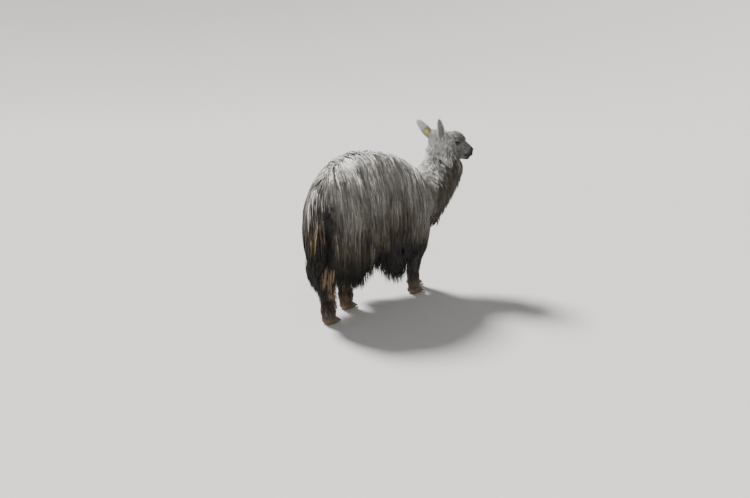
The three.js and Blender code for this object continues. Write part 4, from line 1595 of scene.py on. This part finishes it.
def lashes(name, side, count, look):
    """Long dark lashes along an upper lid, curved up at their ends."""
    skin, rng = Workshop.skin, Workshop.rng
    centre, axes = eye_frame(side)
    a = np.linspace(-0.86, 0.80, count) + 0.02 * rng.normal(size=count)
    rise = EYE_OPEN[1] * np.sqrt(np.clip(1 - (a / 0.95) ** 2, 0, 1)) + 0.02
    on_lid = np.stack((a * EYE_OPEN[0], rise, np.zeros(count)), 1)
    on_lid[:, 2] = np.sqrt(np.clip(1.06 - on_lid[:, 0] ** 2 - on_lid[:, 1] ** 2, 0.05, None))
    roots = centre + (on_lid * EYE_RADIUS) @ axes.T
    out = unit(on_lid * (1, 0.4, 1.3)) @ axes.T
    length = (0.016 * (0.6 + 0.4 * rng.random(count)) * (1 - 0.35 * np.abs(a)))[:, None, None]
    k = np.linspace(0, 1, 5)[None, :, None]
    sag = np.array((0, 0, -0.004)) * k * (1 - k) * 2
    paths = roots[:, None] + out[:, None] * k * length + sag + axes[:, 1] * (k ** 2 * 0.30) * length
    spot = skin.tree.find_nearest(Vector(centre))[2]
    uv = np.broadcast_to(skin.uv[spot].mean(0), (count, 2))
    mesh = lock_mesh(name, paths, np.broadcast_to(out[:, None], paths.shape), np.full(count, 0.0009),
                     np.full(count, 0.3), uv, rng, 0.5)
    finished(new_object(name, mesh), look, "face_coat")


class ALPACA_OT_tail_coat(bpy.types.Operator):
    """Hangs the tail's long locks"""
    bl_idname = "alpaca.tail_coat"
    bl_label = "Tail coat"

    def execute(self, context):
        coat = context.scene.alpaca_coat
        skin = Workshop.skin
        pick = skin.is_part("tail") & (skin.centre[:, 2] > 0.45)

        def tail_length(p):
            return coat.tail_length * (1 + 0.40 * smooth_step(0.6, 0.5, p[:, 2]))

        coat_piece("coat_tail", pick * 1.0, coat.tail_count, tail_length, coat.lock_width, (0.2, 1.0),
                   tail_lay, 8, coat_material("tail_fleece", dock=1.0), "coat_dark", rise=0.5, lift=1.2,
                   wave=0.0038, turns=1.2)
        return {"FINISHED"}


class ALPACA_OT_leg_coat(bpy.types.Operator):
    """Plants the shaggy hair of the legs and the short hair of the feet"""
    bl_idname = "alpaca.leg_coat"
    bl_label = "Leg coat"

    def execute(self, context):
        coat = context.scene.alpaca_coat
        skin = Workshop.skin
        look = coat_material("leg_fleece", limb=1.0, hairs=6.0)
        z = skin.centre[:, 2]
        dense = 1 + 1.0 * smooth_step(0.14, 0.07, z)

        def leg_length(p):
            return coat.leg_length * (0.45 + 0.55 * smooth_step(0.06, 0.14, p[:, 2])
                                      + 1.0 * smooth_step(0.22, 0.36, p[:, 2]))

        def leg_width(p):
            return np.interp(p[:, 2], (0.03, 0.09, 0.3), (0.0022, 0.0034, 0.0046))

        def foot_length(p):
            return np.interp(p[:, 2], (0.01, 0.03, 0.08), (0.007, 0.013, 0.026))

        for leg in LEGS:
            pick = skin.is_part(leg) & (z < 0.37) & (z > 0.045)
            coat_piece(f"coat_leg_{leg}", pick * dense, coat.leg_count, leg_length, leg_width, (0.25, 1.0),
                       leg_lay, 5, look, "coat_dark", lift=1.0, rise=0.55, wave=0.0020, turns=0.8, steps=8,
                       clump=6, hem=0.0)
        feet = skin.is_part(*LEGS) & (z < 0.085) & (z > 0.006)
        coat_piece("coat_feet", feet * 1.0, coat.foot_count, foot_length, 0.0021, (0.0, 0.6),
                   foot_lay, 4, look, "coat_dark", lift=0.5, rise=1.0, steps=5,
                   inside=False, thick=0.4, clump=5, pull=0.4)
        return {"FINISHED"}


def eye_material():
    """A dark brown iris with rays and a level, oval pupil, on the eyeball's own map."""
    made, tree, sockets = material("eye", 0.10, Specular_IOR_Level=0.22, Coat_Weight=0.08,
                                   Coat_Roughness=0.02)
    gaze = own_map(tree, "gaze")
    across, up, _ = gaze.split()
    rays = noise(stretched(gaze, (9, 9, 9)), 1.0, 4.0)
    brown = blend(rays, (0.016, 0.008, 0.005, 1), (0.050, 0.024, 0.012, 1))
    pupil = (across.maths("DIVIDE", 0.60).maths("POWER", 2.0)
             + up.maths("DIVIDE", 0.27).maths("POWER", 2.0))
    tone = blend(pupil.ramp(1.25, 0.85), brown, (0.003, 0.003, 0.004, 1))
    out = value(tree, "ShaderNodeVectorMath", gaze, operation="LENGTH", output="Value")
    feed(sockets["Base Color"], blend(out.ramp(0.92, 1.05), tone, (0.03, 0.022, 0.018, 1)))
    return made


CORNEA_BULGE = 0.0011


def eyeball(name, side, iris):
    """A ball with a clear bulge over the iris, and a map that is one at the iris's edge."""
    centre, axes = eye_frame(side)
    bm = bmesh.new()
    bmesh.ops.create_uvsphere(bm, u_segments=40, v_segments=26, radius=EYE_RADIUS)
    gaze = bm.loops.layers.uv.new("gaze")
    places = {}
    for v in bm.verts:
        if v.co.z > 0:
            places[v] = v.co.xy / iris
            v.co.z += CORNEA_BULGE * min(1.0, max(0.0, 1 - v.co.xy.length / iris) * 1.8)
        else:
            places[v] = v.co.xy.normalized() * 2
    for face in bm.faces:
        for loop in face.loops:
            loop[gaze].uv = places[loop.vert]
    turn = Matrix(axes.tolist())
    if turn.determinant() < 0:
        bmesh.ops.scale(bm, vec=(-1, 1, 1), verts=bm.verts)
        turn = turn @ Matrix.Diagonal((-1, 1, 1))
    bmesh.ops.transform(bm, matrix=Matrix.Translation(centre) @ turn.to_4x4(), verts=bm.verts)
    return object_from_bmesh(name, bm)


class ALPACA_OT_eyes(bpy.types.Operator):
    """Makes each eyeball with its clear bulge, iris and level pupil"""
    bl_idname = "alpaca.eyes"
    bl_label = "Eyes"

    def execute(self, context):
        look = eye_material()
        for side, word in SIDES:
            piece = eyeball(f"eyeball_{word}", side, context.scene.alpaca_body.iris)
            finished(piece, look, "eye", f"eye_{word}")
        return {"FINISHED"}


def welded_copy(name, cad):
    """A CAD node's own solid as a new piece, with its doubled points merged."""
    bm = bmesh.new()
    bm.from_mesh(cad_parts[cad].data)
    bmesh.ops.remove_doubles(bm, verts=bm.verts, dist=0.00002)
    return object_from_bmesh(name, bm)


class ALPACA_OT_nails(bpy.types.Operator):
    """Rounds the toenails and gives them their horn"""
    bl_idname = "alpaca.nails"
    bl_label = "Nails"

    def execute(self, context):
        made, tree, sockets = material("horn", 0.42)
        grain = noise(stretched(object_place(tree), (900, 90, 900)), 1.0, 3.0)
        feed(sockets["Base Color"], blend(grain, (0.018, 0.014, 0.012, 1), (0.10, 0.075, 0.055, 1)))
        relief(sockets, grain, 0.0004)
        for leg in LEG_NAMES:
            for toe in ("left_toe", "right_toe"):
                piece = welded_copy(f"toenail_{leg}_{toe}", f"nail_{leg}_{toe}")
                soft = piece.modifiers.new("round", "SUBSURF")
                soft.levels = soft.render_levels = 2
                applied(piece)
                for face in piece.data.polygons:
                    face.use_smooth = True
                finished(piece, made, "horn", f"nail_{leg}_{toe}")
        return {"FINISHED"}


class ALPACA_OT_ear_tag(bpy.types.Operator):
    """Gives the round tag and its stud soft edges and a scuffed plastic"""
    bl_idname = "alpaca.ear_tag"
    bl_label = "Ear tag"

    def execute(self, context):
        made, tree, sockets = material("tag_plastic", 0.4)
        dirt = noise(object_place(tree), 140.0, 4.0, 0.6)
        base = tuple(context.scene.alpaca_colours.tag)
        feed(sockets["Base Color"], blend(dirt.ramp(0.55, 0.80, 0.0, 0.55), base, (0.16, 0.11, 0.05, 1)))
        feed(sockets["Roughness"], dirt.ramp(0.3, 0.7, 0.32, 0.55))
        for cad, name in (("ear_tag", "tag_button"), ("ear_tag_stud", "tag_stud")):
            piece = welded_copy(name, cad)
            soft = piece.modifiers.new("edge", "BEVEL")
            soft.width = 0.0005
            soft.segments = 2
            soft.limit_method = "ANGLE"
            finished(applied(piece), made, "tag", cad)
        return {"FINISHED"}


# The camera's plan place and pitch, and the ways ahead of it and to its right on the floor.
CAMERA_S, CAMERA_L, CAMERA_PITCH = -2.4324, -2.9355, math.radians(17.258)
AHEAD = np.array((0.7193, -0.6947, 0.0))
RIGHT = np.array((-0.6947, -0.7193, 0.0))
MIDDLE = np.array((0.0, 0.0, 0.55))


def aimed(context, name, data, place, way):
    """A lamp or camera at a place, facing a way."""
    made = bpy.data.objects.new(name, data)
    context.collection.objects.link(made)
    made.location = place
    made.rotation_euler = Vector(way).to_track_quat("-Z", "Y").to_euler()
    return made


class ALPACA_OT_stage(bpy.types.Operator):
    """Sets the floor, the lights, the backdrop's tone and the camera"""
    bl_idname = "alpaca.stage"
    bl_label = "Stage"

    def execute(self, context):
        stage = context.scene.alpaca_stage
        self.floor(stage.floor_tone)
        world = bpy.data.worlds.new("studio")
        context.scene.world = world
        world.use_nodes = True
        backdrop = world.node_tree.nodes["Background"].inputs
        backdrop["Color"].default_value = (0.86, 0.89, 0.93, 1)
        backdrop["Strength"].default_value = 0.17
        key = bpy.data.lights.new("key", "SUN")
        key.energy = stage.key_power
        key.angle = math.radians(14)
        key.color = (1.0, 0.965, 0.915)
        fill = bpy.data.lights.new("fill", "AREA")
        fill.energy = stage.fill_power
        fill.size = 2.6
        fill.color = (0.93, 0.96, 1.0)
        for data, place in ((key, MIDDLE - RIGHT * 1.3 + AHEAD * 1.25 + np.array((0, 0, 2.15))),
                            (fill, MIDDLE - AHEAD * 3.0 + RIGHT * 0.8 + np.array((0, 0, 1.4)))):
            aimed(context, data.name, data, place, Vector(MIDDLE) - Vector(place))
        lens = bpy.data.cameras.new("camera")
        lens.sensor_width = 36
        lens.lens = 36
        view = AHEAD * math.cos(CAMERA_PITCH) + np.array((0, 0, -math.sin(CAMERA_PITCH)))
        place = plan(CAMERA_S, CAMERA_L, stage.eye_height)
        context.scene.camera = aimed(context, "camera", lens, place, view)
        return {"FINISHED"}

    def floor(self, tone):
        """A wide floor that rises gently far from the animal."""
        bm = bmesh.new()
        bmesh.ops.create_grid(bm, x_segments=80, y_segments=80, size=20)
        for v in bm.verts:
            v.co.z = 0.045 * max(0.0, v.co.length - 7) ** 2
        floor = object_from_bmesh("floor", bm)
        made, tree, sockets = material("floor", 0.85)
        grain = noise(object_place(tree), 3.0, 3.0)
        feed(sockets["Base Color"], blend(grain, (tone, tone, tone * 0.985, 1),
                                          (tone * 0.97, tone * 0.97, tone * 0.96, 1)))
        floor.data.materials.append(made)


SETTINGS = {"alpaca_body": AlpacaBody, "alpaca_coat": AlpacaCoat, "alpaca_colours": AlpacaColours,
            "alpaca_stage": AlpacaStage}
OPERATORS = (ALPACA_OT_skin, ALPACA_OT_trunk_coat, ALPACA_OT_neck_coat, ALPACA_OT_head_coat,
             ALPACA_OT_tail_coat, ALPACA_OT_leg_coat, ALPACA_OT_eyes, ALPACA_OT_nails, ALPACA_OT_ear_tag,
             ALPACA_OT_stage)


class ALPACA_PT_panel(bpy.types.Panel):
    bl_idname = "ALPACA_PT_panel"
    bl_label = "Suri Alpaca"
    bl_space_type = "VIEW_3D"
    bl_region_type = "UI"
    bl_category = "Alpaca"

    def draw(self, context):
        for name, kind in SETTINGS.items():
            box = self.layout.box()
            for key in kind.__annotations__:
                box.prop(getattr(context.scene, name), key)
        for step in OPERATORS:
            self.layout.operator(step.bl_idname)


CLASSES = (*SETTINGS.values(), *OPERATORS, ALPACA_PT_panel)


def register():
    for cls in CLASSES:
        bpy.utils.register_class(cls)
    for name, kind in SETTINGS.items():
        setattr(bpy.types.Scene, name, bpy.props.PointerProperty(type=kind))


def unregister():
    for name in SETTINGS:
        delattr(bpy.types.Scene, name)
    for cls in reversed(CLASSES):
        bpy.utils.unregister_class(cls)


def main():
    register()
    colours = bpy.context.scene.alpaca_colours
    markings_group({key: tuple(getattr(colours, key)) for key in AlpacaColours.__annotations__})
    strand_group()
    short_hair_group()
    bpy.ops.alpaca.skin()
    bpy.ops.alpaca.trunk_coat()
    bpy.ops.alpaca.neck_coat()
    bpy.ops.alpaca.head_coat()
    bpy.ops.alpaca.tail_coat()
    bpy.ops.alpaca.leg_coat()
    bpy.ops.alpaca.eyes()
    bpy.ops.alpaca.nails()
    bpy.ops.alpaca.ear_tag()
    bpy.ops.alpaca.stage()


if __name__ == "__main__":
    main()
